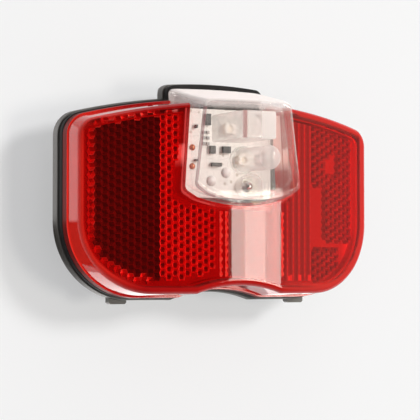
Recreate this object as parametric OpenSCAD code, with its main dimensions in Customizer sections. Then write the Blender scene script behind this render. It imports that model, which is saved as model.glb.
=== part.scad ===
// Rear light for a bicycle luggage rack: a black housing with two mounting studs, a red reflector
// cover with a clear lamp window that pulls off towards the front, two AAA cells and a push button.
// The origin lies midway between the studs on the mounting plane, +Z is up and the lens faces -Y.
// Depths are measured from the mounting plane towards the front, so a point at depth d has Y = -d.

/* [Housing outline] */
// Width of the housing at its widest edge
housing_w = 100; // [96:1:110]
// Height from the flat bottom edge to the crown of the hump
housing_h = 64.4; // [63:0.2:70]
// Radius of the two large lower corners
lower_corner_r = 23; // [18:0.5:25]
// Radius of the two upper corners
upper_corner_r = 7.5; // [6.5:0.5:10]
// Height of the centre of the upper corners above the studs
shoulder_h = 15.1; // [14:0.1:16]
// Slope of the top edge where it runs into the upper corner, in degrees
shoulder_slope = 14; // [12:0.5:16]
// Radius of the crowned top edge of each wing
crown_r = 200; // [160:5:300]
// Width of the hump above the window
hump_w = 33.2; // [32:0.2:36]
// Radius of the upper corners of the hump
hump_corner_r = 3; // [2.6:0.1:3.6]
// Radius of the crowned top of the hump
hump_crown_r = 150; // [120:5:250]
// Width of the arch in the lower edge
arch_w = 27; // [20:0.5:30]
// Rise of the arch in the lower edge
arch_h = 2.4; // [1.6:0.1:2.8]

/* [Housing shell] */
// Depth of the front edge of the rim
rim_depth = 10; // [9.8:0.1:11]
// Height of the two stud bosses behind the back plate
boss_h = 1.2; // [0.8:0.1:1.6]
// Diameter of the stud bosses
boss_d = 12; // [10:0.5:13]
// Thickness of the back plate
plate_t = 2; // [1.6:0.1:2.4]
// Thickness of the side walls
wall = 2.2; // [1.8:0.1:2.4]
// How far the side walls taper in towards the back
back_taper = 4.4; // [3:0.1:5]
// Width of the two pry lugs under the lower edge
lug_w = 5.6; // [4:0.2:7]
// How far the pry lugs stand proud
lug_h = 1.2; // [0.8:0.1:1.5]
// Distance between the two pry lugs
lug_spacing = 60; // [56:1:64]

/* [Mounting studs] */
// Distance between the studs
stud_spacing = 80; // [74:1:82]
// Nominal diameter of the studs
stud_d = 5; // [4:1:6]
// Length of the studs behind the mounting plane
stud_l = 14; // [10:1:20]
// Width of the stud's hexagon head across its flats
stud_head_w = 8; // [7:0.5:10]
// Height of the stud's head
stud_head_h = 3.5; // [3:0.1:4]
// Step from the thread to the shoulder that fills the hole in the housing
stud_shoulder = 0.25; // [0.2:0.05:0.5]
// Depth of the recess that keeps the head from turning
head_recess = 0.6; // [0.4:0.1:0.8]

/* [Cover] */
// Radius of the convex front, about an upright axis
lens_r = 147; // [130:1:180]
// Depth of the front at its middle
lens_depth = 28.8; // [28.4:0.1:30]
// Thickness of the front
lens_t = 2.2; // [1.8:0.1:2.4]
// Thickness of the seal between rim and cover
seal_t = 2.4; // [2:0.1:2.8]
// Height of the cover's flange
flange_t = 2.5; // [2:0.1:3]
// How far the cover's spigot reaches into the housing
spigot_l = 4; // [3:0.1:4.4]
// Thickness of the spigot
spigot_t = 1.2; // [1:0.1:1.4]
// How far the front's edge lies inside the housing's outline
lens_inset = 2; // [1.8:0.1:2.6]
// Radius of the rounded front edge
lens_edge_r = 1.4; // [1:0.1:1.8]

/* [Clear window] */
// Width of the window at its sill
window_w = 35.8; // [34:0.2:37]
// Width of the window's front at its top
window_top_w = 29.2; // [28:0.2:31]
// How far the window stands proud of the middle of the front
window_proud = 4.1; // [3:0.1:5]
// Height of the lowest point of the sill above the studs
sill_z = -4.7; // [-5.4:0.1:-4]
// Rise of the sill from its middle to its corners
sill_rise = 3.6; // [2.6:0.1:4]
// How far the roof falls from the hump to the front
roof_fall = 4.6; // [4:0.1:5]
// Thickness of the window's walls
window_t = 1.8; // [1.4:0.1:2]

/* [Reflector prisms] */
// Distance between neighbouring prisms, across the flats
prism_pitch = 2.22; // [2.1:0.01:2.8]
// Thickness of a panel at the valleys between its prisms
panel_t = 0.9; // [0.7:0.1:1.2]
// Width of the middle panel along the front
centre_field_w = 49; // [44:1:52]
// Plain border between the prisms and the edge of the front
prism_border = 2.5; // [2.2:0.1:3.5]

/* [Cells and contacts] */
// Diameter of a cell
cell_d = 10.5; // [10:0.1:10.8]
// Length of a cell over its button
cell_l = 44.5; // [43.5:0.1:45]
// Length left for a contact spring
spring_l = 6.5; // [5.5:0.1:7]
// Diameter of the spring wire
spring_wire = 0.7; // [0.5:0.05:0.8]
// Turns of a contact spring
spring_turns = 4; // [3:1:4]
// Thickness of a contact plate
contact_t = 0.4; // [0.3:0.05:0.6]
// Diameter of the supply leads
lead_d = 1.2; // [1:0.1:1.4]

/* [Circuit board] */
// Width of the board
board_w = 39.6; // [38:0.2:41]
// Thickness of the board
board_t = 1.6; // [1.2:0.2:2]
// Height of the board above the back plate
board_stand = 6.2; // [5.8:0.1:6.6]
// Distance between the board screws
screw_spacing = 33; // [30:0.5:34]

/* [Lamp optics] */
// Width of the rectangular light guide
guide_w = 11.1; // [10:0.1:11.6]
// Space between the rectangular light guide and the window's roof
guide_clear = 1.5; // [1.2:0.1:2]
// Space between the two light guides
guide_step = 1.6; // [1:0.1:2]
// Diameter of the round light guide
rod_d = 7.2; // [6.6:0.1:7.4]
// Diameter of the mouth of the lamp cup
cup_d = 8; // [7:0.1:8.2]

/* [Push button] */
// Length of the rubber key
key_l = 12; // [9:0.5:13]
// Width of the rubber key
key_w = 4.6; // [4:0.1:4.8]
// Travel of the key
key_travel = 1; // [0.6:0.1:1.2]

/* [Fits] */
// Clearance round moving pieces
gap = 0.3; // [0.25:0.05:0.4]
// Clearance of pieces that are fixed to each other
seat = 0.1; // [0.05:0.05:0.15]

/* [Hidden] */
$fn = 48;

// Outline of the housing in X and Z
half_w = housing_w / 2;
bottom_z = -housing_h / 2;
hump_top = housing_h / 2;
shoulder_c = [half_w - upper_corner_r, shoulder_h];
crown_end = 90 - shoulder_slope;
crown_c = shoulder_c - (crown_r - upper_corner_r) * [cos(crown_end), sin(crown_end)];
hump_c = [0, hump_top - hump_crown_r];
hump_lean = asin((hump_w / 2 - hump_corner_r) / (hump_crown_r - hump_corner_r));
hump_corner_c = hump_c + (hump_crown_r - hump_corner_r) * [sin(hump_lean), cos(hump_lean)];
lower_c = [half_w - lower_corner_r, bottom_z + lower_corner_r];
arch_r = (pow(arch_w / 2, 2) + arch_h * arch_h) / (2 * arch_h);
arch_c = [0, bottom_z + arch_h - arch_r];

// Points along each stretch of half an outline; both halves of a ring have the same number
hump_pts = 4;
corner_pts = 8;
crown_pts = 6;
lower_pts = 12;
half_pts = 2 * hump_pts + 1 + crown_pts + corner_pts;
arch_pts = half_pts - lower_pts - 1;

// Depths of the main planes
plate_back = boss_h;
plate_front = plate_back + plate_t;
widest_depth = rim_depth - 3;
seal_front = rim_depth + seal_t;
flange_back = seal_front + seat;
flange_front = flange_back + flange_t;
spigot_back = flange_back - spigot_l;
board_back = plate_front + board_stand;
board_front = board_back + board_t;
head_back = plate_front - head_recess;
shoulder_r = stud_d / 2 + stud_shoulder;

// Insets of the cover's rings from the housing's outline
flange_inset = 0.7;
flange_draft = 0.2;
skirt_step = 0.4;
skirt_inset = flange_inset + flange_draft + skirt_step;
spigot_inset = wall + gap;
inner_inset = spigot_inset + spigot_t;
skirt_drop = 0.3;
front_drop = 0.8;
edge_inset = lens_inset + lens_edge_r;

// Window, with its sides as one straight line from sill to roof
window_corner_r = 2;
window_side_z = sill_z + sill_rise + window_corner_r;
window_lean = 0.066;
window_front = lens_depth + window_proud;
window_draft = 0.6;
sill_draft = 0.5;
roof_crown = 0.4;
roof_back_z = hump_top - 2;
window_base = lens_depth - 1;
window_low_back = lens_depth - lens_t - 2.2;
window_edge_r = 0.9;
edge_pts = 5;
edge_share = 0.82;
past = 10;

// Reflector field behind the front
hex_r = prism_pitch / sqrt(3);
lens_axis = lens_depth - lens_r;
field_r = lens_r - lens_t - gap;
prism_h = sqrt(2) * hex_r;
field_z = bottom_z + edge_inset + prism_border + prism_pitch;
bezel_w = 2.6;
side_field_max = half_w - edge_inset - prism_border;

// Cells, one above the other
cell_r = cell_d / 2;
tray_floor = 1;
tray_lip = 1;
cradle_gap = 0.2;
cell_depth = plate_front + tray_floor + cradle_gap + cell_r;
tray_low = bottom_z + arch_h + back_taper + cradle_gap;
lower_cell_z = tray_low + tray_lip + cradle_gap + cell_r;
cell_step = cell_d + 0.6;
upper_cell_z = lower_cell_z + cell_step;
tray_high = upper_cell_z + cell_r + cradle_gap + tray_lip;
cell_gap_l = cell_l + spring_l;
contact_x = cell_gap_l / 2;
tray_wall = 1.7;
tray_x = contact_x + contact_t + seat + tray_wall;
tray_depth = cell_depth - 1.6;
tray_end_depth = cell_depth + 3.4;
pocket_back = plate_front + tray_floor / 2;
contact_w = 7;
contact_back = cell_depth - 4;

// Circuit board outline
cell_top_z = upper_cell_z + cell_r;
board_clear = 0.6;
board_low = cell_top_z + board_clear;
board_drop = 7.6;
board_top = hump_top - board_drop;
board_chamfer = 5.6;
board_shoulder_z = board_top - board_chamfer;
board_neck_w = 26;
screw_rise = 11.8;
screw_z = board_low + screw_rise;
post_r = 2.6;
screw_r = 1;
pilot_floor = 0.6;
pilot_back = plate_front + pilot_floor;

// Lamp optics, each on its own lamp, one above the other from the cells to the window's roof
cup_x = 10.4;
cup_h = 5;
cup_z = cell_top_z + seat + cup_d / 2;
rod_x = 9.7;
rod_z = cup_z + cup_d / 2 + gap + rod_d / 2;
rod_clear = 1.1;
rod_front = window_front - window_t - rod_clear;
guide_x = 5.05;
guide_front_clear = 0.8;
guide_front = window_front - window_t - guide_front_clear;
guide_low = rod_z + rod_d / 2 + guide_step;
guide_high = roof_z(guide_front) - window_t - guide_clear;
guide_z = (guide_low + guide_high) / 2;
lamp_h = 1.9;
lamp_w = 3.5;
lamp_l = 2.8;

// Push button and the switch below it
key_depth = (plate_front + rim_depth) / 2;
key_top = hump_top - 0.4;
key_flange_t = 1.1;
key_flange_w = 1;
key_flange_top = hump_top - wall - 0.9;
switch_w = 6;
switch_h = 6;
switch_back = key_depth - 2.2;
switch_top = board_top - 1.6;
plunger_r = 1.6;
plunger_l = 4.4;
plunger_low = switch_top - 2.8;
plunger_top = plunger_low + plunger_l;

// Curves in the plane of an outline
function polar(c, r, a) = c + r * [cos(a), sin(a)];
function arc(c, r, a0, a1, n) = [for (k = [0:n - 1]) polar(c, r, a0 + (a1 - a0) * k / (n - 1))];
function half_step_arc(c, r, a0, a1, n) =
    [for (k = [0:n - 1]) polar(c, r, a0 + (a1 - a0) * k / (n - 0.5))];
function reversed(v) = [for (k = [len(v) - 1:-1:0]) v[k]];
function mirrored(v) = [for (p = v) [-p.x, p.y]];
function dropped(v, drop) = [for (p = v) [p.x, p.y - drop]];

// Angle and height of the wings' crown at a given X, drawn in by an inset
function crown_angle(x, inset) = acos((x - crown_c.x) / (crown_r - inset));
function crown_z(x, inset) = crown_c.y + (crown_r - inset) * sin(crown_angle(x, inset));

// Top edge of a wing from X to the middle of the side
function wing_top(x, inset, n) = concat(
    arc(crown_c, crown_r - inset, crown_angle(x, inset), crown_end, n),
    arc(shoulder_c, max(upper_corner_r - inset, 0.4), crown_end, 0, corner_pts)
);

// Right half of the top edge with the hump, whose top and sides have insets of their own
function hump_half(inset, top_inset, side_inset) =
    let (r = max(hump_corner_r - max(top_inset, side_inset), 0.3))
    let (c = [hump_w / 2 - side_inset - r, hump_corner_c.y + hump_corner_r - top_inset - r])
    let (end = atan2(c.y + r - hump_c.y, c.x))
    concat(
        reversed(half_step_arc(hump_c, hump_crown_r - top_inset, end, 90, hump_pts)),
        arc(c, r, end, 0, hump_pts),
        [[hump_w / 2 - side_inset, crown_z(hump_w / 2 - side_inset, inset)]],
        wing_top(hump_w / 2 - side_inset + 0.6, inset, crown_pts)
    );

// Right half of the top edge without the hump
function plain_half(inset, drop) =
    dropped(wing_top(0.8, inset, half_pts - corner_pts), drop);

// Right half of the lower edge, from the side to the middle of the arch
function lower_half(inset) =
    let (r = arch_r + inset)
    let (x = sqrt(r * r - pow(bottom_z + inset - arch_c.y, 2)))
    concat(
        arc(lower_c, lower_corner_r - inset, 0, -90, lower_pts),
        [[x, bottom_z + inset]],
        half_step_arc(arch_c, r, acos(x / r) + 1, 90, arch_pts)
    );

function closed(top, low) = concat(reversed(mirrored(top)), top, low, reversed(mirrored(low)));
function housing_outline(inset, top_inset, side_inset) =
    closed(hump_half(inset, top_inset, side_inset), lower_half(inset));
function cover_outline(inset, drop = 0) = closed(plain_half(inset, drop), lower_half(inset));

// Rings of points: flat at one depth, or a set distance behind the convex front
function lens_front(x) = lens_axis + sqrt(lens_r * lens_r - x * x);
function flat_ring(outline, depth) = [for (p = outline) [p.x, -depth, p.y]];
function front_ring(outline, behind) = [for (p = outline) [p.x, behind - lens_front(p.x), p.y]];
function housing_ring(depth, inset, top_inset, side_inset) =
    flat_ring(housing_outline(inset, top_inset, side_inset), depth);

// Closed solid through a stack of rings, the first of which faces the front. The ends are closed by
// strips between the upper and the lower half of the ring, or the stack runs back into itself.
module skin(rings, loop = false) {
    n = len(rings[0]);
    k = len(rings);
    function at(j, i) = (j % k) * n + i % n;
    walls = [
        for (j = [0:k - (loop ? 1 : 2)], i = [0:n - 1])
        each [[at(j, i), at(j + 1, i + 1), at(j, i + 1)], [at(j, i), at(j + 1, i), at(j + 1, i + 1)]]
    ];
    first = [for (i = [0:n / 2 - 2]) each [[i, i + 1, n - 2 - i], [i, n - 2 - i, n - 1 - i]]];
    last = [for (f = first) [for (v = reversed(f)) v + (k - 1) * n]];
    polyhedron([for (r = rings) each r], concat(walls, loop ? [] : first, loop ? [] : last));
}

// Extrudes an outline drawn in X and Z from one depth to a larger one
module slab(d0, d1) {
    translate([0, -d0, 0]) rotate([90, 0, 0]) linear_extrude(d1 - d0) children();
}

// Round bar along the depth
module bar(x, z, d0, d1, r) {
    translate([x, -d0, z]) rotate([90, 0, 0]) cylinder(h = d1 - d0, r = r);
}

// Solid of revolution along the depth, its outline drawn as radius and height above depth d0
module turned(x, z, d0, outline) {
    translate([x, -d0, z]) rotate([90, 0, 0]) rotate_extrude() polygon(outline);
}

// Box between two X, two depths and two heights
module block(x0, x1, d0, d1, z0, z1) {
    translate([x0, -d1, z0]) cube([x1 - x0, d1 - d0, z1 - z0]);
}

// Bar with round ends, along X, between two heights
module oblong(l, w, depth, z0, z1) {
    translate([0, -depth, z0]) linear_extrude(z1 - z0) union() {
        square([l - w, w], center = true);
        for (side = [-1, 1]) translate([side * (l - w) / 2, 0]) circle(d = w);
    }
}

// Housing shell, from the floor inside round the rim to the back plate
module housing_shell() {
    inner_taper = wall + back_taper / 2;
    skin([
        housing_ring(plate_front, inner_taper, wall + 0.4, inner_taper),
        housing_ring(widest_depth - 0.5, wall + 0.1, wall, wall + 0.1),
        housing_ring(rim_depth, wall, wall, wall),
        housing_ring(rim_depth, 0.2, 0.2, 0.2),
        housing_ring(widest_depth, 0, 0, 0),
        housing_ring(widest_depth - 0.8, 0.1 * back_taper, 0.05, 0.1 * back_taper),
        housing_ring(plate_back + 1.6, 0.55 * back_taper, 0.4, 0.5 * back_taper),
        housing_ring(plate_back + 0.5, 0.75 * back_taper, 0.9, 0.66 * back_taper),
        housing_ring(plate_back, back_taper, 1.8, 0.86 * back_taper)
    ]);
}

// Rounded lug under the lower edge, for the blade that lifts the cover
module pry_lug(x) {
    edge_z = lower_c.y - sqrt(pow(lower_corner_r, 2) - pow(max(abs(x) - lower_c.x, 0), 2));
    r = (pow(lug_w / 2, 2) + lug_h * lug_h) / (2 * lug_h);
    difference() {
        bar(x, edge_z - lug_h + r, widest_depth - 1.2, widest_depth + 1.2, r);
        block(x - r - 1, x + r + 1, 0, rim_depth, edge_z + 0.8, edge_z + 2 * r);
    }
}

module rear_housing() {
    color("#1b1b1d") difference() {
        union() {
            housing_shell();
            for (side = [-1, 1]) {
                bar(side * stud_spacing / 2, 0, 0, plate_back + 0.5, boss_d / 2);
                bar(side * screw_spacing / 2, screw_z, plate_front - 0.5, board_back, post_r);
                pry_lug(side * lug_spacing / 2);
            }
        }
        for (side = [-1, 1]) {
            bar(side * stud_spacing / 2, 0, -past, plate_front, shoulder_r + seat);
            stud_head(side, seat, past);
            bar(side * screw_spacing / 2, screw_z, pilot_back, board_back + past, screw_r + seat / 2);
        }
        oblong(key_l + 2 * gap, key_w + 2 * gap, key_depth, key_flange_top, hump_top + past);
    }
}

// Hexagon head of a stud, drawn outwards by a clearance and lengthened towards the front
module stud_head(side, clearance, longer) {
    translate([side * stud_spacing / 2, -head_back, 0]) rotate([90, 0, 0])
        cylinder(h = stud_head_h + longer, r = (stud_head_w / 2 + clearance) / cos(30), $fn = 6);
}

// Hexagon-head bolts that stick out behind the housing
module mounting_studs() {
    tip = 0.8;
    thread_r = stud_d / 2;
    shank = stud_l + head_back + stud_head_h / 2;
    color("silver") for (side = [-1, 1]) {
        stud_head(side, 0, 0);
        turned(side * stud_spacing / 2, 0, -stud_l, [
            [0, 0], [thread_r - tip / 2, 0], [thread_r, tip], [thread_r, stud_l],
            [shoulder_r, stud_l], [shoulder_r, shank], [0, shank]
        ]);
    }
}

module lens_seal() {
    outer = flange_inset - seat;
    inner = wall + seat;
    color("#101010") skin([
        housing_ring(seal_front, outer, outer, outer),
        housing_ring(rim_depth, outer, outer, outer),
        housing_ring(rim_depth, inner, inner, inner),
        housing_ring(seal_front, inner, inner, inner)
    ], loop = true);
}

// Opening of the red cover: the window's sill and sides, drawn outwards by a clearance
module window_opening(clearance) {
    far_z = hump_top + past;
    low = window_low_half(window_w / 2 + clearance, sill_z - clearance);
    far_x = side_half(far_z) + clearance;
    slab(0, window_front + past)
        polygon(concat(low, reversed(mirrored(low)), [[-far_x, far_z], [far_x, far_z]]));
}

module red_lens() {
    color("red") difference() {
        skin([
            front_ring(cover_outline(edge_inset, front_drop), 0),
            front_ring(cover_outline(lens_inset + 0.3 * lens_edge_r, front_drop), 0.3 * lens_edge_r),
            front_ring(cover_outline(lens_inset, front_drop), lens_edge_r),
            flat_ring(cover_outline(skirt_inset, skirt_drop), flange_front),
            flat_ring(cover_outline(skirt_inset - skirt_step, skirt_drop), flange_front),
            flat_ring(cover_outline(flange_inset, skirt_drop), flange_back),
            flat_ring(cover_outline(spigot_inset), flange_back),
            flat_ring(cover_outline(spigot_inset), spigot_back),
            flat_ring(cover_outline(inner_inset), spigot_back),
            flat_ring(cover_outline(inner_inset, skirt_drop), flange_front),
            front_ring(cover_outline(lens_inset + lens_t, front_drop), lens_t)
        ]);
        window_opening(seat);
    }
}

// Place of a point along a bowed edge, as a share of half its length
function edge_step(k) = (k - 0.5) * edge_share / edge_pts;

// Right half of the window's lower edge: a round corner and the bowed sill
function window_low_half(half, sill) =
    let (c = [half - window_corner_r, sill + sill_rise + window_corner_r])
    concat(
        arc(c, window_corner_r, 0, -65, edge_pts),
        [for (k = [edge_pts:-1:1]) let (s = edge_step(k)) [s * half, sill + sill_rise * s * s]]
    );

// Right half of the window's upper edge: a crowned roof and a round corner
function window_top_half(half, top) =
    let (r = window_corner_r)
    concat(
        [for (k = [1:edge_pts]) let (s = edge_step(k)) [s * half, top - roof_crown * s * s]],
        arc([half - r, top - roof_crown - r], r, 85, 0, edge_pts)
    );

// Ring of the window whose depth runs evenly from the sill to the roof
function window_ring(half, top_half, top, sill, low_depth, top_depth) =
    [for (p = closed(window_top_half(top_half, top), window_low_half(half, sill)))
        [p.x, -low_depth - (top_depth - low_depth) * (p.y - sill) / (top - sill), p.y]];

// Height of the roof at a depth, and half the window's width at a height
function roof_z(depth) = roof_back_z - roof_fall * (depth - flange_back) / (window_front - flange_back);
function side_half(z) = window_w / 2 - window_lean * (z - window_side_z);

// Ring of the window at its front, drawn in by an inset
function window_face(inset, depth) = window_ring(
    window_w / 2 - window_draft - inset, window_top_w / 2 - inset,
    roof_z(depth) - inset, sill_z + sill_draft + inset, depth, depth
);

// Ring of the window where it goes through the cover, drawn in by an inset
function window_root(inset, low_depth, top_depth) = window_ring(
    window_w / 2 - inset, side_half(roof_z(top_depth) - window_corner_r - roof_crown) - inset,
    roof_z(top_depth) - inset, sill_z + inset, low_depth, top_depth
);

module clear_window() {
    color("white", 0.4) skin([
        window_face(window_edge_r, window_front),
        window_face(0.3 * window_edge_r, window_front - 0.3 * window_edge_r),
        window_face(0, window_front - window_edge_r),
        window_root(0, window_base, window_base),
        window_root(0, window_low_back, flange_back),
        window_root(window_t, window_low_back, flange_back),
        window_root(window_t, window_base, window_base),
        window_face(window_t, window_front - window_t)
    ]);
}

// Height of the cover's edges at a given X, drawn in by an inset
function top_edge(x, inset) = x > shoulder_c.x + (upper_corner_r - inset) * cos(crown_end)
    ? shoulder_c.y + sqrt(max(pow(max(upper_corner_r - inset, 0.4), 2) - pow(x - shoulder_c.x, 2), 0))
    : crown_z(x, inset);
function low_edge(x, inset) = x > lower_c.x
    ? lower_c.y - sqrt(max(pow(lower_corner_r - inset, 2) - pow(x - lower_c.x, 2), 0))
    : max(bottom_z + inset, arch_c.y + sqrt(pow(arch_r + inset, 2) - x * x));

// The prisms lie on a hexagonal lattice that follows the convex front. A lattice step is half a
// hexagon's corner radius along the front and half a pitch upwards, and every third column holds
// the middles of the hexagons. Each hexagon is one cube corner: its middle stands furthest back,
// every other corner half as far, and the corners between are the valleys.
function lattice_angle(m) = m * hex_r / 2 / field_r * 180 / PI;
function prism_depth(m) = panel_t + prism_h * [1, 0, 0.5][((m % 3) + 3) % 3];
function lattice_point(m, n, behind) = [
    (field_r - behind) * sin(lattice_angle(m)),
    -lens_axis - (field_r - behind) * cos(lattice_angle(m)),
    field_z + n * prism_pitch / 2
];

// Whether the hexagon with this middle lies inside the field and clear of the window's bezel
function in_field(m, n, x_min, x_max) =
    let (p = lattice_point(m, n, 0), x = abs(p.x))
    let (inset = edge_inset + prism_border, half = prism_pitch / 2)
    p.x - hex_r > x_min && p.x + hex_r < x_max
    && p.z + half < top_edge(x + hex_r, inset) - front_drop
    && p.z - half > low_edge(x + hex_r, inset)
    && p.z - half > low_edge(x, inset)
    && (x - hex_r > side_half(p.z) + bezel_w
        || p.z + half < sill_z + sill_rise * pow(x / (window_w / 2), 2) - bezel_w);

// One closed panel of cube corners between two X
module prism_panel(x_min, x_max) {
    corners = [[2, 0], [1, 1], [-1, 1], [-2, 0], [-1, -1], [1, -1]];
    sides = [[3, 1], [0, 2], [-3, 1], [-3, -1], [0, -2], [3, -1]];
    first_col = floor(x_min / hex_r / 1.5) - 1;
    last_col = ceil(x_max / hex_r / 1.5) + 1;
    rows = ceil(2 * housing_h / prism_pitch);
    m0 = 3 * first_col - 3;
    columns = 3 * (last_col - first_col) + 7;
    layer = columns * (rows + 4);
    cells = [
        for (i = [first_col:last_col], n = [0:rows])
        if ((i + n) % 2 == 0 && in_field(3 * i, n, x_min, x_max)) [3 * i, n]
    ];
    points = [
        for (back = [0, 1], n = [-2:rows + 1], m = [m0:m0 + columns - 1])
        lattice_point(m, n, back * prism_depth(m))
    ];
    function at(p, back) = back * layer + (p.y + 2) * columns + p.x - m0;
    function corner(c, k, back) = at(c + corners[k % 6], back);
    front = [for (c = cells, k = [1:4]) [corner(c, 0, 0), corner(c, k + 1, 0), corner(c, k, 0)]];
    cubes = [for (c = cells, k = [0:5]) [at(c, 1), corner(c, k, 1), corner(c, k + 1, 1)]];
    rims = [
        for (c = cells, k = [0:5])
        let (neighbour = c + sides[k])
        if (!in_field(neighbour.x, neighbour.y, x_min, x_max))
        each [
            [corner(c, k, 0), corner(c, k + 1, 0), corner(c, k + 1, 1)],
            [corner(c, k, 0), corner(c, k + 1, 1), corner(c, k, 1)]
        ]
    ];
    polyhedron(points, concat(front, cubes, rims));
}

module left_prism_panel() {
    color("darkred") prism_panel(-side_field_max, -centre_field_w / 2);
}

module centre_prism_panel() {
    color("crimson") prism_panel(-centre_field_w / 2, centre_field_w / 2);
}

module right_prism_panel() {
    color("darkred") prism_panel(centre_field_w / 2, side_field_max);
}

// Bay with a cradle for each cell and a pocket for the contacts at each end
module battery_tray() {
    color("#2a2a2c") difference() {
        union() {
            block(-tray_x, tray_x, plate_front, tray_depth, tray_low, tray_high);
            for (side = [-1, 1]) translate([side * (tray_x - tray_wall / 2), 0, 0])
                block(-tray_wall / 2, tray_wall / 2, plate_front, tray_end_depth, tray_low, tray_high);
        }
        for (z = [lower_cell_z, upper_cell_z]) translate([-contact_x, -cell_depth, z]) rotate([0, 90, 0])
            cylinder(h = 2 * contact_x, r = cell_r + cradle_gap);
        for (side = [-1, 1]) translate([side * (contact_x + contact_t / 2), 0, 0])
            block(-contact_t / 2 - seat, contact_t / 2 + seat, pocket_back, tray_end_depth + past,
                tray_low + tray_lip, tray_high + past);
    }
}

// Cell whose button faces the given side
module cell(z, side) {
    button_r = 1.9;
    button_h = 0.8;
    crimp = 0.5;
    can = cell_l - button_h;
    translate([side * (contact_x - cell_l), -cell_depth, z]) rotate([0, side * 90, 0])
        rotate_extrude() polygon([
            [0, 0], [cell_r - crimp, 0], [cell_r, crimp], [cell_r, can - 2 * crimp],
            [cell_r - crimp / 2, can - 1.5 * crimp], [cell_r - crimp, can],
            [button_r, can], [button_r, cell_l], [0, cell_l]
        ]);
}

module upper_cell() {
    color("goldenrod") cell(upper_cell_z, 1);
}

module lower_cell() {
    color("goldenrod") cell(lower_cell_z, -1);
}

// Conical contact spring: one wire whose coils narrow towards the cell
spring_rings = 8;
spring_sides = 6;
spring_base_r = 3.9;
spring_tip_r = 2.3;
spring_steps = spring_turns * spring_rings;
function spring_share(k) = k / spring_steps;
function spring_x(k) = spring_wire / 2 + 0.06 + (spring_l - spring_wire - 0.12) * spring_share(k);
function spring_r(k) = spring_base_r + (spring_tip_r - spring_base_r) * spring_share(k);
function spring_middle(k) =
    let (a = 360 * k / spring_rings)
    [spring_x(k), spring_r(k) * cos(a), spring_r(k) * sin(a)];
function spring_ring(k) =
    let (a = 360 * k / spring_rings)
    [for (j = [0:spring_sides - 1])
        let (b = 360 * j / spring_sides)
        spring_middle(k) + spring_wire / 2 * [sin(b), cos(b) * cos(a), cos(b) * sin(a)]];
spring_gap = min([
    for (k = [0:spring_steps], j = [0:spring_steps])
    if (j - k > spring_rings / 2) norm(spring_middle(j) - spring_middle(k)) - spring_wire
]);
echo(least_gap_between_spring_coils = spring_gap);

module spring(side, z) {
    s = spring_sides;
    walls = [
        for (k = [0:spring_steps - 1], j = [0:s - 1])
        let (a = k * s + j, b = k * s + (j + 1) % s)
        each [[a, b, b + s], [a, b + s, a + s]]
    ];
    start = [for (j = [1:s - 2]) [0, j + 1, j]];
    end = [for (f = start) [for (v = reversed(f)) v + spring_steps * s]];
    translate([side * contact_x, -cell_depth, z]) rotate([0, 0, side > 0 ? 180 : 0])
        polyhedron([for (k = [0:spring_steps]) each spring_ring(k)], concat(walls, start, end));
}

module battery_springs() {
    color("silver") {
        spring(-1, upper_cell_z);
        spring(1, lower_cell_z);
    }
}

// Contact plate behind the end of a cell
module contact_plate(side, z0, z1) {
    translate([side * (contact_x + contact_t / 2), 0, 0])
        block(-contact_t / 2, contact_t / 2, contact_back, contact_back + contact_w, z0, z1);
}

// Upright tail of a contact plate that reaches above the tray
tail_top = tray_high + 1.2;
tail_w = 1;
module contact_tail(depth, z0) {
    block(contact_x, contact_x + contact_t, depth - tail_w / 2, depth + tail_w / 2, z0, tail_top);
}

contact_reach = cell_r - 0.8;
positive_tail_depth = cell_depth - 1.4;
negative_tail_depth = pocket_back + seat + tail_w / 2;

module series_contact() {
    color("silver") contact_plate(-1, lower_cell_z - contact_reach, upper_cell_z + contact_reach);
}

module positive_contact() {
    color("silver") union() {
        contact_plate(1, upper_cell_z - contact_reach, upper_cell_z + contact_reach);
        contact_tail(positive_tail_depth, upper_cell_z);
    }
}

module negative_contact() {
    arm_w = 2;
    color("silver") union() {
        contact_plate(1, lower_cell_z - contact_reach, lower_cell_z + contact_reach);
        contact_tail(negative_tail_depth, lower_cell_z);
        block(contact_x, contact_x + contact_t, negative_tail_depth, cell_depth,
            lower_cell_z - arm_w / 2, lower_cell_z + arm_w / 2);
    }
}

// Lead from a contact's tail along X and then forward to the back of the board
module lead(depth, x_end) {
    r = lead_d / 2;
    z = tail_top + r;
    translate([x_end, -depth, z]) rotate([0, 90, 0]) cylinder(h = contact_x + contact_t - x_end, r = r);
    translate([x_end, -depth, z]) sphere(r = r);
    bar(x_end, z, depth, board_back, r);
}

module supply_leads() {
    lead_x = board_w / 2 - 1.6;
    color("firebrick") {
        lead(positive_tail_depth, lead_x);
        lead(negative_tail_depth, lead_x - 3 * lead_d);
    }
}

// Board with shoulders that clear the cover's spigot
module circuit_board() {
    half = board_w / 2;
    neck = board_neck_w / 2;
    color("whitesmoke") difference() {
        slab(board_back, board_front) polygon([
            [-half, board_low], [half, board_low], [half, board_shoulder_z], [neck, board_top],
            [-neck, board_top], [-half, board_shoulder_z]
        ]);
        for (side = [-1, 1])
            bar(side * screw_spacing / 2, screw_z, board_back - past, board_front + past, screw_r + seat);
        for (p = pin_places) bar(p.x, p.y, board_back - past, board_front + past, pin_r + seat);
    }
}

// Pan-head screws with a cross recess
module board_screws() {
    head_r = 2;
    head_h = 1.4;
    slot_w = 0.5;
    slot_l = 2.6;
    tip_h = 0.6;
    tip_depth = pilot_back + seat;
    shank = board_front - tip_depth;
    color("silver") for (side = [-1, 1]) difference() {
        turned(side * screw_spacing / 2, screw_z, tip_depth, [
            [0, 0], [screw_r, tip_h], [screw_r, shank], [head_r, shank],
            [head_r, shank + 0.6 * head_h], [0.7 * head_r, shank + head_h], [0, shank + head_h]
        ]);
        for (turn = [0, 90])
            translate([side * screw_spacing / 2, -board_front - head_h, screw_z]) rotate([0, turn, 0])
                cube([slot_w, head_h, slot_l], center = true);
    }
}

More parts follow.
